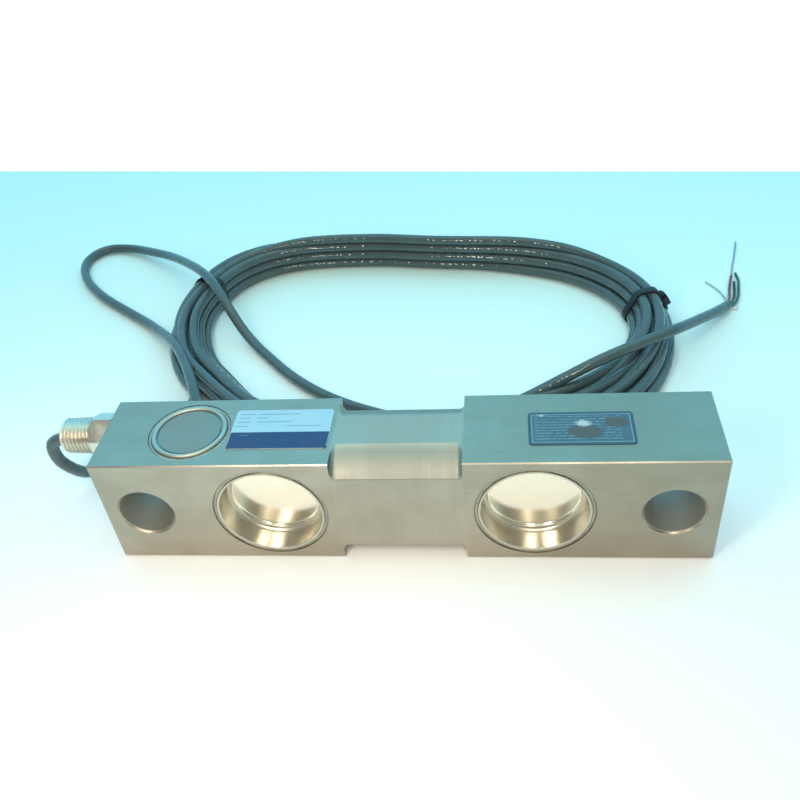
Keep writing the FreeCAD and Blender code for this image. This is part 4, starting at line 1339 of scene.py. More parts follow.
@dataclass
class Viewpoint:
    """The camera that took the picture."""

    place: Point = (0.0370, -0.2109, 0.2300)
    yaw: float = math.radians(-9.48)
    pitch: float = math.radians(39.01)
    roll: float = math.radians(7.05)
    focal: float = 854.3
    picture: float = 800.0
    sensor: float = 36.0
    nearest: float = 0.01
    farthest: float = 20.0

    def build(self) -> bpy.types.Object:
        """Set up the camera.

        Returns:
            The camera, made the scene's own.
        """
        flat = math.cos(self.pitch)
        ahead = Vector((math.sin(self.yaw) * flat, math.cos(self.yaw) * flat, -math.sin(self.pitch)))
        level = Vector((math.cos(self.yaw), -math.sin(self.yaw), 0.0))
        down = ahead.cross(level)
        right = level * math.cos(self.roll) + down * math.sin(self.roll)
        up = level * math.sin(self.roll) - down * math.cos(self.roll)
        lens = bpy.data.cameras.new("viewpoint")
        lens.sensor_width = self.sensor
        lens.lens = self.focal * self.sensor / self.picture
        lens.clip_start = self.nearest
        lens.clip_end = self.farthest
        camera = bpy.data.objects.new("viewpoint", lens)
        axes = Matrix((right, up, -ahead)).transposed().to_4x4()
        camera.matrix_world = Matrix.Translation(self.place) @ axes
        show(camera)
        bpy.context.scene.camera = camera
        LOG.info("camera set up")
        return camera


@dataclass(frozen=True)
class Lamp:
    """A soft rectangular studio lamp."""

    name: str
    place: Point
    aim: Point
    size: tuple[float, float]
    power: float
    colour: Colour


@dataclass
class Studio:
    """Pale floor, soft sky and lamps."""

    reach: float = 4.0
    near_edge: float = -0.34
    drop: float = 0.0003
    slant: float = math.radians(-6.94)
    far_edge: float = 0.2952
    # painted light: the ramp from cream to cyan stands for warm lamp light in front and cyan light from
    # behind
    paper: tuple[tuple[float, Colour], ...] = (
        (-0.16, (0.98, 0.95, 0.93)), (-0.045, (0.98, 0.95, 0.945)), (0.01, (0.96, 0.97, 0.98)),
        (0.075, (0.86, 0.98, 0.98)), (0.16, (0.79, 1.0, 0.98)), (0.30, (0.71, 1.0, 0.98)),
    )
    fleck: Colour = (0.7, 0.72, 0.72)
    fleck_scale: float = 900.0
    fleck_share: float = 0.02
    paper_roughness: float = 0.9
    paper_relief: float = 0.00001
    front_sky: tuple[tuple[float, Colour], ...] = (
        (0.0, (0.22, 0.21, 0.18)), (0.30, (0.18, 0.18, 0.16)), (0.78, (0.17, 0.18, 0.17)),
        (0.88, (0.26, 0.28, 0.26)), (0.955, (0.76, 0.92, 0.83)), (1.0, (0.98, 1.14, 1.03)),
    )
    back_sky: tuple[tuple[float, Colour], ...] = (
        (0.0, (0.24, 0.62, 0.80)), (0.65, (0.215, 0.65, 0.98)), (0.90, (0.42, 0.98, 1.0)),
        (1.0, (0.84, 1.1, 1.0)),
    )
    sky_blend: float = 0.3
    sky_strength: float = 1.53
    lamps: tuple[Lamp, ...] = (
        Lamp("lamp_left", place=(-0.087, -0.186, 0.222), aim=(-0.02, 0.02, 0.02), size=(0.032, 0.15),
             power=0.36, colour=(1.0, 0.90, 0.76)),
        Lamp("lamp_right", place=(0.113, -0.318, 0.393), aim=(0.02, 0.02, 0.02), size=(0.06, 0.25),
             power=0.68, colour=(1.0, 0.90, 0.76)),
    )

    def build(self) -> None:
        """Make the floor, the sky and the lamps."""
        self._floor()
        self._sky()
        for lamp in self.lamps:
            self._lamp(lamp)
        bpy.context.scene.view_settings.view_transform = "Standard"

    def _floor(self) -> None:
        """Lay a paper sheet, cream in front of the beam and pale cyan up to its far edge; the ramp is painted
        light, warm in front and cyan behind.
        """
        mesh = bpy.data.meshes.new("floor")
        wide = self.reach
        near = [(-wide, self.near_edge), (wide, self.near_edge)]
        far = [(x, self.far_edge + x * math.tan(self.slant)) for x in (wide, -wide)]
        mesh.from_pydata([(x, y, -self.drop) for x, y in near + far], [], [(0, 1, 2, 3)])
        floor = bpy.data.objects.new("floor", mesh)
        show(floor)
        surface = Surface("floor_paper", 0.0, Specular_IOR_Level=0.1)
        plan = surface.plan
        _, y, _ = plan.parts(surface.about((0.0, 0.0, 0.0), (0.0, 0.0, self.slant)))
        fleck = plan.noise(surface.place, self.fleck_scale, detail=3.0, rough=0.6)
        flecked = plan.times(fleck, self.fleck_share)
        # painted light ramp along the floor, with small flecks
        tone = plan.blend(flecked, plan.ramp(y, self.paper), self.fleck)
        surface.finish(tone, self.paper_roughness, fleck, self.paper_relief)
        mesh.materials.append(surface.material)

    def _sky(self) -> None:
        """Light the scene from all sides, cyan behind the part and cream above the camera."""
        world = bpy.data.worlds.new("studio_sky")
        bpy.context.scene.world = world
        world.use_nodes = True
        plan = Plan(world.node_tree)
        back = world.node_tree.nodes["Background"]
        place = plan.node("ShaderNodeTexCoord").outputs["Generated"]
        _, y, z = plan.parts(place)
        backward = plan.ease(y, -self.sky_blend, self.sky_blend)
        tone = plan.blend(backward, plan.ramp(z, self.front_sky), plan.ramp(z, self.back_sky))
        plan.feed(back.inputs["Color"], tone)
        back.inputs["Strength"].default_value = self.sky_strength
        white = plan.node("ShaderNodeBackground", {"Color": (1.0, 1.0, 1.0), "Strength": 1.0})
        seen = plan.node("ShaderNodeLightPath").outputs["Is Camera Ray"]
        both = plan.node("ShaderNodeMixShader", {0: seen, 1: back.outputs[0], 2: white.outputs[0]})
        plan.feed(world.node_tree.nodes["World Output"].inputs["Surface"], both.outputs[0])

    @staticmethod
    def _lamp(lamp: Lamp) -> None:
        """Hang one lamp.

        Args:
            lamp: The lamp.
        """
        light = bpy.data.lights.new(lamp.name, "AREA")
        light.shape = "RECTANGLE"
        light.size, light.size_y = lamp.size
        light.energy = lamp.power
        light.color = lamp.colour
        holder = bpy.data.objects.new(lamp.name, light)
        holder.location = lamp.place
        ahead = Vector(lamp.aim) - Vector(lamp.place)
        holder.rotation_euler = ahead.to_track_quat("-Z", "Y").to_euler()
        show(holder)


@dataclass
class BeamBody:
    """Steel beam with the weld beads round its pockets and its wiring cover."""

    half_width: float = 17.05 * MM
    height: float = 44.45 * MM
    pocket: float = 44.3 * MM
    weld_radius: float = 19.15 * MM
    weld_depth: float = 0.5 * MM
    weld_bead: Point = (0.62 * MM, 0.66 * MM, 0.24 * MM)
    weld_count: int = 150
    cover_x: float = -72.0 * MM
    cover_radius: float = 13.68 * MM
    cover_depth: float = 0.27 * MM
    cover_bead: Point = (0.5 * MM, 0.58 * MM, 0.24 * MM)
    cover_count: int = 120

    def dress(self, shop: Workshop, looks: Finishes, growth: GrowthKit) -> None:
        """Finish the beam and lay its weld beads.

        Args:
            shop: Makes the pieces.
            looks: Finishes of the part.
            growth: Geometry trees.
        """
        shop.dress("beam_body", looks.beam)

        def ring(radius: float, count: int, bead: Point) -> bpy.types.Mesh:
            """Grow one ring of beads about the origin."""
            return shop.grow(growth.beads, {
                "Radius": radius, "Count": count, "Bead": bead, "Material": looks.weld})

        depth = self.half_width - self.weld_depth
        for face in Face:
            tilt = Matrix.Rotation(math.radians(90.0 * -face.value), 4, "X")
            seams = []
            for side in Side:
                seam = ring(self.weld_radius, self.weld_count, self.weld_bead)
                place = (self.pocket * side.value, depth * face.value, self.height / 2)
                seam.transform(Matrix.Translation(place) @ tilt)
                seams.append(seam)
            shop.piece("weld_seams_" + face.name.lower(), shop.merge(seams), looks.weld)
        seam = ring(self.cover_radius, self.cover_count, self.cover_bead)
        seam.transform(Matrix.Translation((self.cover_x, 0.0, self.height - self.cover_depth)))
        shop.piece("weld_seam_cover", seam, looks.weld)


@dataclass
class SealCup:
    """Bright stepped sealing cup in a gauge pocket."""

    side: Side
    face: Face
    offset: float = 44.3 * MM
    half_width: float = 17.05 * MM
    middle: float = 22.225 * MM
    rim: float = 18.35 * MM
    wall: float = 17.55 * MM
    lip: float = 0.45 * MM
    sheet: float = 0.5 * MM
    step: float = 8.3 * MM
    step_fillet: float = 1.4 * MM
    step_edge: float = 0.4 * MM
    well: float = 15.7 * MM
    floor: float = 9.4 * MM
    floor_fillet: float = 0.4 * MM
    dish: float = 0.6 * MM
    dish_rows: int = 12
    arc_rows: int = 6
    sides: int = 128
    sharp: float = 50.0

    @property
    def node(self) -> str:
        """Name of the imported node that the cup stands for."""
        return "seal_cup_%s_%s" % (self.face.name.lower(), self.side.name.lower())

    def profile(self) -> list[tuple[float, float]]:
        """Give the cup's section, from its rim to its middle and back.

        Returns:
            Depth and radius of each corner.
        """
        rows = [(0.0, self.rim)]

        def arc(depth: float, radius: float, bend: float, start: float, end: float) -> None:
            """Add a rounded corner.

            Args:
                depth: Depth of the bend's middle.
                radius: Radius of the bend's middle.
                bend: Radius of the bend itself.
                start: First angle, in degrees.
                end: Last angle, in degrees.
            """
            for number in range(self.arc_rows + 1):
                angle = math.radians(start + (end - start) * number / self.arc_rows)
                rows.append((depth + bend * math.sin(angle), radius + bend * math.cos(angle)))

        arc(self.lip, self.wall + self.lip, self.lip, -90.0, -180.0)
        arc(self.step - self.step_fillet, self.wall - self.step_fillet, self.step_fillet, 0.0, 90.0)
        arc(self.step + self.step_edge, self.well + self.step_edge, self.step_edge, -90.0, -180.0)
        arc(self.floor - self.floor_fillet, self.well - self.floor_fillet, self.floor_fillet, 0.0, 90.0)
        flat = self.well - self.floor_fillet
        for number in range(1, self.dish_rows + 1):
            share = 1.0 - number / self.dish_rows
            rows.append((self.floor + self.dish * (1.0 - share * share), flat * share))
        rows += [
            (self.floor + self.dish + self.sheet, 0.0),
            (self.floor + self.sheet, self.well),
            (self.step + self.sheet, self.well + self.sheet),
            (self.step + self.sheet, self.wall - self.step_fillet),
            (self.step - self.step_fillet, self.wall + self.sheet),
            (self.sheet, self.wall + self.sheet),
            (self.sheet, self.rim),
        ]
        return rows

    def build(self, shop: Workshop, looks: Finishes) -> None:
        """Make the cup.

        Args:
            shop: Makes the pieces.
            looks: Finishes of the part.
        """
        mesh = shop.spin(self.profile(), self.sides)
        turn = Matrix.Rotation(math.radians(90.0 * self.face.value), 4, "X")
        place = (self.offset * self.side.value, self.half_width * self.face.value, self.middle)
        mesh.transform(Matrix.Translation(place) @ turn)
        shop.piece("bright_" + self.node, mesh, looks.cup, [self.node], self.sharp)


@dataclass
class ConduitEntry:
    """Hexagon fitting with a pipe thread, its seal and its potting."""

    start: Point = (-103.2 * MM, 8.2 * MM, 36.2 * MM)
    flats: float = 14.3 * MM
    collar: float = 8.0 * MM
    collar_turn: float = math.radians(-8.0)
    trim: float = 1.2 * MM
    slope: float = 1.27 * MM
    crest: float = 6.75 * MM
    depth: float = 1.0 * MM
    pitch: float = 1.41 * MM
    taper: float = 0.03125
    runout: float = 0.7 * MM
    length: float = 11.975 * MM
    bore: float = 3.6 * MM
    spigot: float = 5.0 * MM
    spigot_length: float = 7.5 * MM
    edge: float = 0.3 * MM
    neck: float = 0.2 * MM
    nose: tuple[float, float] = (0.35 * MM, 0.4 * MM)
    crest_clear: float = 0.1 * MM
    depth_share: float = 0.9
    trim_shares: tuple[float, ...] = (0.0, 0.35, 0.7, 1.0)
    collar_sides: int = 96
    stem_sides: int = 72
    sharp: float = 38.0

    def hexagon(self, angle: float) -> float:
        """Give the radius of the hexagon at an angle."""
        sector = math.radians(60.0)
        return self.flats / 2.0 / math.cos((angle - self.collar_turn) % sector - sector / 2.0)

    def trimmed(self, height: float) -> Callable[[float], float]:
        """Give the rule of the hexagon cut back near its outer end.

        Args:
            height: Height along the fitting.

        Returns:
            The radius as a rule of the angle.
        """
        corner = self.flats / math.sqrt(3.0)
        cone = corner - self.trim + (self.collar - height) * 2.0 * self.trim / self.slope
        return lambda angle: min(self.hexagon(angle), cone)

    def build(self, shop: Workshop, looks: Finishes, growth: GrowthKit) -> None:
        """Make the fitting and finish what is inside it.

        Args:
            shop: Makes the pieces.
            looks: Finishes of the part.
            growth: Geometry trees.
        """
        tip = self.collar + self.length
        root = self.crest - self.depth
        core = root - self.taper * self.length
        collar = [(0.0, self.spigot), (0.0, self.hexagon)]
        for share in self.trim_shares:
            height = self.collar - self.slope * (1.0 - share)
            collar.append((height, self.trimmed(height)))
        collar.append((self.collar, self.spigot))
        hexagon = shop.spin(collar, self.collar_sides, self.collar_turn)
        nose_length, nose_drop = self.nose
        stem = shop.spin([
            (-self.spigot_length, self.bore),
            (-self.spigot_length, self.spigot - self.edge),
            (-self.spigot_length + self.edge, self.spigot),
            (self.neck, self.spigot),
            (self.collar - self.neck, self.spigot),
            (self.collar - self.neck / 2.0, root),
            (self.collar + self.neck, root - self.neck / 10.0),
            (tip - nose_length, core),
            (tip, core - nose_drop),
            (tip, self.bore + self.edge),
            (tip - self.edge, self.bore),
        ], self.stem_sides, math.radians(60.0))
        thread = shop.grow(growth.thread, {
            "Length": self.length - self.edge, "Crest": self.crest - self.crest_clear,
            "Depth": self.depth * self.depth_share, "Pitch": self.pitch, "Taper": self.taper,
            "Runout": self.runout, "Core": core - self.edge, "Material": looks.fitting})
        thread.transform(Matrix.Translation((0.0, 0.0, self.collar)))
        whole = shop.merge([hexagon, stem, thread])
        whole.transform(Matrix.Translation(self.start) @ Matrix.Rotation(math.radians(-90.0), 4, "Y"))
        shop.piece("threaded_conduit_fitting", whole, looks.fitting, ["conduit_fitting"],
                   self.sharp)
        shop.dress("cable_seal", looks.rubber)
        shop.dress("potting_plug", looks.resin)


@dataclass
class WiringCavity:
    """Cover of the wiring cavity and what lies under it."""

    def dress(self, shop: Workshop, looks: Finishes) -> None:
        """Finish the cover, the board and the wires in the beam.

        Args:
            shop: Makes the pieces.
            looks: Finishes of the part.
        """
        for node, material in (
            ("cavity_cover", looks.cover), ("board_pad", looks.pad), ("circuit_board", looks.board),
            ("trim_resistors", looks.resistor), ("core_loom", looks.loom), ("gauge_loom_left", looks.loom),
            ("gauge_loom_right", looks.loom), ("web_leads_left", looks.loom), ("web_leads_right", looks.loom),
        ):
            shop.dress(node, material)
        for face in Face:
            for side in Side:
                shop.dress("strain_gauge_%s_%s" % (face.name.lower(), side.name.lower()), looks.foil)


@dataclass
class Labels:
    """The two labels on the top face."""

    def dress(self, shop: Workshop, looks: Finishes) -> None:
        """Finish the labels."""
        shop.dress("nameplate", looks.nameplate)
        shop.dress("rating_plate", looks.rating)


@dataclass(frozen=True)
class Stretch:
    """A stretch of the coil over which something rises smoothly from 0 to 1 and falls again."""

    centre: float
    flat: float
    reach: float

    def at(self, angle: float) -> float:
        """Give the height at an angle, in degrees."""
        away = abs((angle - self.centre + 180.0) % 360.0 - 180.0)
        return smooth((self.reach - away) / (self.reach - self.flat))


@dataclass
class Coil:
    """The coiled part of the cable, wound clockwise seen from above."""

    jacket: float = 4.7 * MM
    centre: tuple[float, float] = (-7.7 * MM, 114.2 * MM)
    half_length: float = 107.6 * MM
    half_breadth: float = 71.0 * MM
    fullness: float = 2.3
    turn: float = math.radians(-9.3)
    bulges: tuple[tuple[float, float], ...] = (
        (-100.0, 3.0), (-60.0, 0.0), (-4.0, 0.0), (22.0, 3.3), (40.0, 3.8), (62.0, 1.6), (95.0, -0.4),
        (126.0, 2.4), (142.0, 7.2), (156.0, 9.6), (178.0, 4.4), (198.0, -1.4), (213.0, -2.4), (235.0, 5.2),
        (260.0, 3.0),
    )
    first: float = 213.0
    change: float = -90.0
    change_width: float = 44.0
    last: float = -121.0
    per_turn: int = 36
    knot_weights: tuple[float, float, float] = (0.125, 0.75, 0.125)
    slots: tuple[tuple[float, int, int], ...] = (
        (1.5, 0, 0), (0.5, 0, 2), (-0.5, 0, 5), (-1.5, 0, 8), (-1.0, 1, 7), (0.0, 1, 4), (1.0, 1, 1),
        (-0.5, 2, 6), (0.5, 2, 3),
    )
    fan: Stretch = Stretch(-35.0, 11.0, 43.0)
    fan_pitch: float = 0.72
    fan_height: float = 0.66
    piled: Stretch = Stretch(108.0, 56.0, 90.0)
    peaked: Stretch = Stretch(94.0, 44.0, 66.0)
    outermost: float = 1.4
    leaning: Stretch = Stretch(121.0, 41.0, 79.0)
    opened: Stretch = Stretch(200.0, 10.0, 32.0)
    open_share: float = 0.12
    wander: float = 0.35 * MM
    wander_phase: float = 1.7
    clear: float = 0.1 * MM
    tie_angles: tuple[float, float] = (171.0, 15.5)
    tie_flat: float = 5.0
    tie_reach: float = 40.0
    lift: float = 1.0 * MM

    def middle_line(self, angle: float) -> tuple[Vector, Vector]:
        """Give a point of the bundle's middle line and its outward direction.

        Args:
            angle: Angle about the middle of the coil, in degrees.

        Returns:
            The point and the outward direction, in the shared frame.
        """
        cosine = math.cos(math.radians(angle))
        sine = math.sin(math.radians(angle))
        power = self.fullness
        fill = abs(cosine / self.half_length) ** power + abs(sine / self.half_breadth) ** power
        reach = fill ** (-1.0 / power)
        x, y = reach * cosine, reach * sine
        slope_x = math.copysign(abs(x / self.half_length) ** (power - 1.0) / self.half_length, x)
        slope_y = math.copysign(abs(y / self.half_breadth) ** (power - 1.0) / self.half_breadth, y)
        swing = Matrix.Rotation(self.turn, 3, "Z")
        outward = (swing @ Vector((slope_x, slope_y, 0.0))).normalized()
        return swing @ Vector((x, y, 0.0)) + Vector((*self.centre, 0.0)), outward

    def drift(self, angle: float) -> float:
        """Give the distance by which the whole bundle lies outward of its middle line.

        Args:
            angle: Angle about the middle of the coil, in degrees.

        Returns:
            The distance.
        """
        start = self.bulges[0][0]
        held = (angle - start) % 360.0 + start
        for (low, first), (high, second) in zip(self.bulges, self.bulges[1:]):
            if low <= held < high:
                return (first + (second - first) * smooth((held - low) / (high - low))) * MM
        return 0.0

    def raised(self, angle: float) -> float:
        """Give the height that the nearer tie lifts the bundle by."""
        ties = [Stretch(tie, self.tie_flat, self.tie_reach) for tie in self.tie_angles]
        return self.lift * max(tie.at(angle) for tie in ties)

    def slot_place(self, number: int, angle: float) -> tuple[float, float]:
        """Give the place of one turn across the bundle.

        Args:
            number: Turn, from the first wound.
            angle: Angle about the middle of the coil, in degrees.

        Returns:
            Distance outward from the middle line, and height.
        """
        across, layer, order = self.slots[number]
        piled = self.piled.at(angle)
        peaked = self.peaked.at(angle)
        climb = (piled, piled, peaked)[layer] if across + layer / 2.0 > self.outermost else 0.0
        inward = (climb, 2.0 * peaked - climb, climb)[layer] if climb else 0.0
        level = layer + climb
        lean = self.leaning.at(angle)
        spread = self.fan.at(angle)
        pitch = 1.0 + self.open_share * self.opened.at(angle)
        tied = (across - inward / 2.0 - lean * level / 2.0) * pitch * self.jacket + self.drift(angle)
        fanned = (self.slots[0][0] - order * self.fan_pitch) * self.jacket
        sway = math.sin(math.radians(2.0 * angle) + self.wander_phase * number)
        loose = self.wander * sway * (1.0 - spread)
        offset = pitch * (1.0 - lean) / 2.0
        stacked = level * math.sqrt(1.0 - offset * offset) * self.jacket
        spread_height = self.fan_height * self.jacket * (order % 2)
        height = stacked + (spread_height - stacked) * spread
        rest = self.jacket / 2.0 + self.clear + self.raised(angle)
        return tied + (fanned - tied) * spread + loose, rest + height

    def strand_place(self, number: int, angle: float) -> tuple[float, float]:
        """Give the place of one turn on its spline, which runs inside its control points.

        Args:
            number: Turn, from the first wound.
            angle: Angle about the middle of the coil, in degrees.

        Returns:
            Distance outward from the middle line, and height.
        """
        base, outward = self.middle_line(angle)
        step = 360.0 / self.per_turn
        place = Vector()
        for offset, weight in zip((-step, 0.0, step), self.knot_weights):
            point, away = self.middle_line(angle + offset)
            across, height = self.slot_place(number, angle + offset)
            place += (point + away * across + Vector((0.0, 0.0, height))) * weight
        return (place - base).dot(outward), place.z

    def points(self) -> list[Vector]:
        """Give the control points of all turns in winding order.

        Returns:
            The points, in the shared frame.
        """
        step = 360.0 / self.per_turn
        made = []
        top = len(self.slots) - 1
        total = self.first - self.last + 360.0 * top
        for index in range(int(total / step) + 1):
            angle = self.first - index * step
            passed = (self.change + self.change_width / 2.0 - angle) / 360.0
            number = max(0, math.floor(passed) + 1)
            moved = (passed - math.floor(passed)) * 360.0 / self.change_width
            share = smooth(moved) if passed >= 0.0 else 1.0
            here = self.slot_place(min(number, top), angle)
            before = self.slot_place(min(max(0, number - 1), top), angle)
            point, outward = self.middle_line(angle)
            across = before[0] + (here[0] - before[0]) * share
            height = before[1] + (here[1] - before[1]) * share
            made.append(point + outward * across + Vector((0.0, 0.0, height)))
        return made


@dataclass(frozen=True)
class Wire:
    """A stripped wire at the end of the cable."""

    node: str
    finish: str
    slot: str
    around: float
    route: tuple[Point, ...]


@dataclass
class CableRun:
    """The cable from the fitting through its coil to its stripped end, with two ties."""

    jacket: float = 4.7 * MM
    exit_point: Point = (-123.175 * MM, 8.2 * MM, 36.2 * MM)
    lead: tuple[Point, ...] = (
        (-111.7, 8.2, 36.2), (-129.375, 8.2, 36.2), (-131.775, 8.6, 25.4), (-129.675, 11.0, 17.4),
        (-128.375, 17.0, 8.6), (-125.2, 26.0, 3.0), (-117.5, 36.5, 2.5), (-107.5, 46.5, 2.5),
        (-102.5, 60.0, 2.5),
    )
    leave: tuple[Point, ...] = (
        (-91.0, 50.0, 11.2), (-98.0, 66.5, 12.4), (-107.0, 84.5, 12.4), (-115.5, 98.5, 11.0),
        (-124.0, 110.0, 8.0),
    )
    tail: tuple[Point, ...] = (
        (-131.5, 119.0, 5.2), (-140.7, 129.0, 2.8), (-157.8, 142.5, 2.4), (-177.0, 157.5, 2.4),
        (-193.5, 176.0, 2.4), (-201.0, 195.5, 2.4), (-193.0, 209.5, 2.4), (-176.0, 207.5, 2.8),
        (-160.5, 197.5, 5.4), (-144.0, 184.5, 9.4), (-128.0, 166.5, 14.8), (-114.0, 149.6, 18.7),
        (-104.0, 135.6, 18.8), (-96.4, 124.6, 13.8), (-89.2, 116.5, 6.6), (-81.9, 108.8, 2.8),
        (-73.0, 98.8, 2.4), (-59.6, 83.6, 2.4), (-41.2, 68.8, 2.4), (-21.0, 58.4, 2.4), (0.0, 51.2, 2.4),
        (20.0, 51.2, 2.6), (40.0, 60.6, 4.6), (58.0, 68.8, 9.5), (76.0, 74.3, 16.6), (105.0, 91.2, 16.8),
        (112.4, 100.1, 13.2), (120.1, 109.3, 9.8), (128.1, 118.9, 6.2), (136.0, 129.2, 2.7),
    )
    wires: tuple[Wire, ...] = (
        Wire("conductor_red", "red", "red_insulation", 125.0,
             ((139.2, 138.0, 1.5), (140.6, 145.2, 0.65), (142.2, 151.6, 0.65), (144.2, 158.5, 0.65))),
        Wire("conductor_black", "black", "black_insulation", 60.0,
             ((141.0, 137.0, 1.6), (143.0, 144.6, 0.65), (144.4, 153.0, 0.65))),
        Wire("conductor_green", "green", "green_insulation", 0.0,
             ((141.6, 134.6, 1.2), (144.0, 140.6, 0.65), (145.6, 148.4, 0.65), (146.9, 155.0, 0.65),
              (146.5, 160.6, 0.65))),
        Wire("conductor_white", "white", "white_insulation", -75.0, ((141.8, 130.6, 0.65),)),
    )
    shield: tuple[Point, ...] = (
        (137.6, 135.2, 1.2), (137.4, 141.5, 0.35), (135.2, 148.6, 0.35), (131.4, 154.2, 0.35),
    )
    shield_around: float = 170.0
    red_core: tuple[Point, ...] = (
        (144.2, 158.5, 0.65), (145.04, 161.38, 0.6), (146.4, 167.5, 0.45), (149.6, 177.6, 0.4),
        (153.0, 191.4, 0.4),
    )
    spread: float = 1.35 * MM
    wire_radius: float = 0.6 * MM
    tucked: float = 1.2 * MM
    straight: float = 3.0 * MM
    shield_strand: float = 0.1 * MM
    core_strand: float = 0.14 * MM
    strands: int = 6
    twist: float = 900.0
    strand_sharp: float = 60.0
    cable_steps: int = 6
    cable_sides: int = 5
    wire_steps: int = 8
    wire_sides: int = 3
    declared: float = 5.9

    def wire_start(self, around: float) -> list[Vector]:
        """Give the first two points of a stripped wire.

        Args:
            around: Angle of the wire about the cable's axis, in degrees.

        Returns:
            The wire's start and the end of its straight run.
        """
        before, end = metres(self.tail[-2:])
        ahead = (end - before).normalized()
        across = ahead.cross(Vector((0.0, 0.0, 1.0))).normalized()
        upward = across.cross(ahead)
        angle = math.radians(around)
        start = end + (across * math.cos(angle) + upward * math.sin(angle)) * self.spread
        return [start - ahead * self.tucked, start + ahead * self.straight]

    def build(self, shop: Workshop, looks: Finishes, growth: GrowthKit, coil: Coil) -> None:
        """Make the cable, its wires and its ties.

        Args:
            shop: Makes the pieces.
            looks: Finishes of the part.
            growth: Geometry trees.
            coil: The coiled part of the cable.
        """
        points = metres(self.lead) + coil.points() + metres(self.leave) + metres(self.tail)
        line = self._tube("cable", points, self.cable_steps, self.jacket / 2.0, self.cable_sides)
        line.materials.append(looks.jacket)
        cable = bpy.data.objects.new("cable", line)
        show(cable)
        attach(cable, "root")
        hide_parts("cable_lead", "cable_coil", "cable_tail")
        LOG.info("made cable with %d control points", len(points))
        pieces = [self._wire(shop, looks, wire) for wire in self.wires]
        shield = self.wire_start(self.shield_around) + metres(self.shield)
        for name, route, node, radius in (
            ("shield_wire", shield, "shield_strand", self.shield_strand),
            ("red_bare_core", metres(self.red_core), "conductor_red_core", self.core_strand),
        ):
            mesh = shop.grow(growth.strands, {
                "Strands": self.strands, "Bundle": radius * 2.0, "Strand": radius, "Twist": self.twist,
                "Material": looks.tinned}, shop.route(route))
            pieces.append(shop.piece(name, mesh, looks.tinned, [node], self.strand_sharp))
        for side, angle in zip(Side, coil.tie_angles):
            pieces.append(BundleTie(side, angle).build(shop, looks, growth, coil))

    @staticmethod
    def _tube(name: str, points: Sequence[Vector], steps: int, radius: float, sides: int) -> bpy.types.Curve:
        """Make a curve with a round section and closed ends.

        Args:
            name: Name of the curve.
            points: Control points.
            steps: Steps between control points.
            radius: Radius of the section.
            sides: Fineness of the section.

        Returns:
            The curve.
        """
        line = spline_curve(name, points, steps)
        line.bevel_depth = radius
        line.bevel_resolution = sides
        line.use_fill_caps = True
        return line

    def _wire(self, shop: Workshop, looks: Finishes, wire: Wire) -> bpy.types.Object:
        """Make one insulated wire.

        Args:
            shop: Makes the pieces.
            looks: Finishes of the part.
            wire: The wire.

        Returns:
            The piece.
        """
        points = self.wire_start(wire.around) + metres(wire.route)
        line = self._tube(wire.node, points, self.wire_steps, self.wire_radius, self.wire_sides)
        mesh = shop.bake(bpy.data.objects.new("wire", line))
        return shop.piece("wire_" + wire.finish, mesh, getattr(looks, wire.finish), [wire.node])


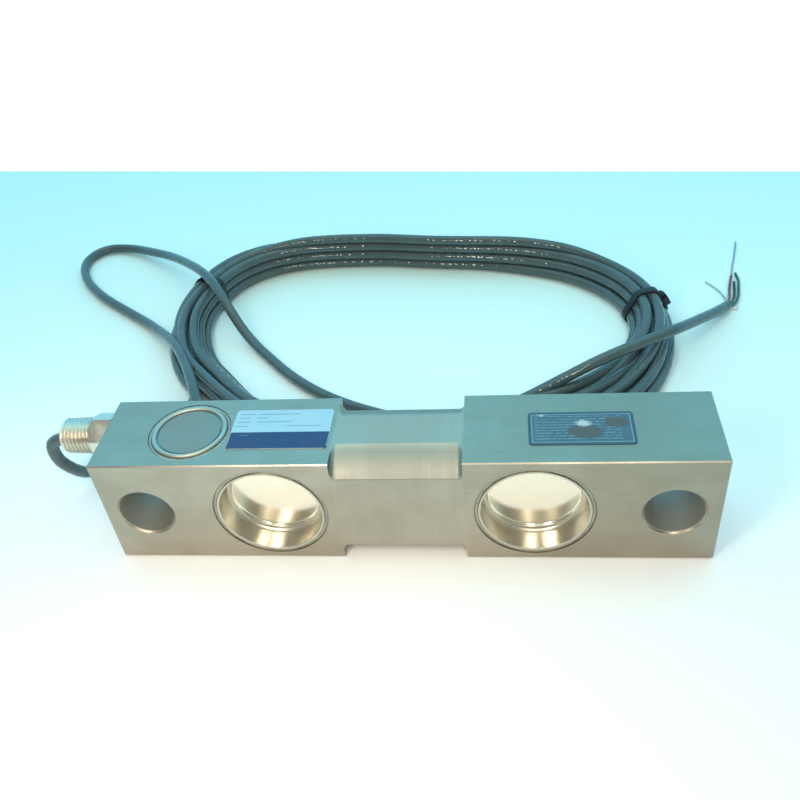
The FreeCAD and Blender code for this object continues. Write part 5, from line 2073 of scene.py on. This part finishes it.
@dataclass
class BundleTie:
    """Ribbed cable tie round the coiled bundle."""

    side: Side
    angle: float
    thickness: float = 0.9 * MM
    width: float = 3.6 * MM
    gap: float = 0.15 * MM
    rib_pitch: float = 1.1 * MM
    rib_height: float = 0.09 * MM
    held: tuple[int, ...] = (0, 3, 7, 8)
    corner_steps: int = 8
    head: Point = (3.0 * MM, 5.0 * MM, 4.8 * MM)
    head_share: float = 0.35
    slot_wall: float = 0.7 * MM
    slot_depth: float = 1.2 * MM
    rounding: float = 0.3 * MM
    shortest: float = 1.5 * MM
    crease: float = 1.0
    stub: tuple[float, float] = (0.9 * MM, 2.4 * MM)
    stub_share: float = 0.92
    stub_rise: float = 0.6 * MM

    def build(self, shop: Workshop, looks: Finishes, growth: GrowthKit, coil: Coil) -> bpy.types.Object:
        """Make the tie.

        Args:
            shop: Makes the pieces.
            looks: Finishes of the part.
            growth: Geometry trees.
            coil: The bundle that it holds.

        Returns:
            The piece.
        """
        base, outward = coil.middle_line(self.angle)
        strands = [Vector(coil.strand_place(number, self.angle)) for number in self.held]
        loop = self._loop(strands, coil.jacket / 2.0)
        chain = bpy.data.meshes.new("band")
        chain.from_pydata(loop, [(n, (n + 1) % len(loop)) for n in range(len(loop))], [])
        band = shop.grow(growth.band, {
            "Width": self.width, "Thickness": self.thickness, "Rib Pitch": self.rib_pitch,
            "Rib Height": self.rib_height, "Material": looks.tie}, chain)
        rise = (strands[3] - strands[0]).normalized()
        away = Vector((rise.y, -rise.x))
        spot = strands[0].lerp(strands[3], self.head_share)
        spot += away * (coil.jacket / 2.0 + self.gap + self.thickness / 2.0)
        head = self._head()
        tilt = Matrix.Rotation(math.atan2(away.y, away.x), 4, "Z")
        head.transform(Matrix.Translation((spot.x, spot.y, 0.0)) @ tilt)
        whole = shop.merge([band, head])
        upward = Vector((0.0, 0.0, 1.0))
        frame = Matrix((outward, upward, outward.cross(upward)))
        whole.transform(Matrix.Translation(base) @ frame.transposed().to_4x4())
        node = "coil_tie_" + self.side.name.lower()
        return shop.piece("ribbed_" + node, whole, looks.tie, [node])

    def _loop(self, corners: Sequence[Vector], radius: float) -> list[Point]:
        """Lead the band's middle line round the outer strands.

        Args:
            corners: Place of the four outer strands: outer and inner bottom, inner and outer top.
            radius: Radius of a strand.

        Returns:
            Points of the closed loop, across and up.
        """
        bend = radius + self.gap + self.thickness / 2.0
        order = [corners[0], corners[3], corners[2], corners[1]]
        loop: list[Point] = []
        for index, corner in enumerate(order):
            before = corner - order[index - 1]
            after = order[(index + 1) % len(order)] - corner
            start = math.atan2(before.y, before.x) - math.pi / 2.0
            end = math.atan2(after.y, after.x) - math.pi / 2.0
            sweep = (end - start) % (2.0 * math.pi)
            for number in range(self.corner_steps + 1):
                angle = start + sweep * number / self.corner_steps
                loop.append((corner.x + bend * math.cos(angle), corner.y + bend * math.sin(angle), 0.0))
        return loop

    def _head(self) -> bpy.types.Mesh:
        """Make the tie's head with its slot and the cut end of the band.

        Returns:
            The head's mesh, standing off the band's middle line along X.
        """
        shape = bmesh.new()
        off, tall, wide = self.head
        off = off - self.thickness / 2.0
        block = bmesh.ops.create_cube(shape, size=1.0)["verts"]
        bmesh.ops.scale(shape, vec=(off, tall, wide), verts=block)
        bmesh.ops.translate(shape, vec=(off / 2.0, 0.0, 0.0), verts=block)
        top = max(shape.faces, key=lambda face: face.calc_center_median().y)
        bmesh.ops.inset_region(shape, faces=[top], thickness=self.slot_wall)
        sunk = bmesh.ops.extrude_face_region(shape, geom=[top])
        lowered = [item for item in sunk["geom"] if isinstance(item, bmesh.types.BMVert)]
        bmesh.ops.translate(shape, vec=(0.0, -self.slot_depth, 0.0), verts=lowered)
        bmesh.ops.delete(shape, geom=[top], context="FACES")
        rim = [edge for edge in shape.edges if edge.calc_length() > self.shortest and edge.is_manifold
               and edge.calc_face_angle(0.0) > self.crease]
        bmesh.ops.bevel(shape, geom=rim, offset=self.rounding, segments=2, affect="EDGES", profile=0.6)
        stub = bmesh.ops.create_cube(shape, size=1.0)["verts"]
        bmesh.ops.scale(shape, vec=(*self.stub, self.width * self.stub_share), verts=stub)
        bmesh.ops.translate(shape, vec=(off / 2.0, tall / 2.0 + self.stub_rise, 0.0), verts=stub)
        bmesh.ops.recalc_face_normals(shape, faces=shape.faces)
        mesh = bpy.data.meshes.new("head")
        shape.to_mesh(mesh)
        shape.free()
        return mesh


def main() -> None:
    """Build the scene in order."""
    logging.basicConfig(level=logging.INFO, format="%(name)s: %(message)s")
    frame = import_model()
    Viewpoint().build()
    Studio().build()
    shop = Workshop(frame["nodes"])
    looks = Finishes()
    growth = GrowthKit()
    CableRun().build(shop, looks, growth, Coil())
    BeamBody().dress(shop, looks, growth)
    for face in Face:
        for side in Side:
            SealCup(side, face).build(shop, looks)
    ConduitEntry().build(shop, looks, growth)
    WiringCavity().dress(shop, looks)
    Labels().dress(shop, looks)


if __name__ == "__main__":
    main()
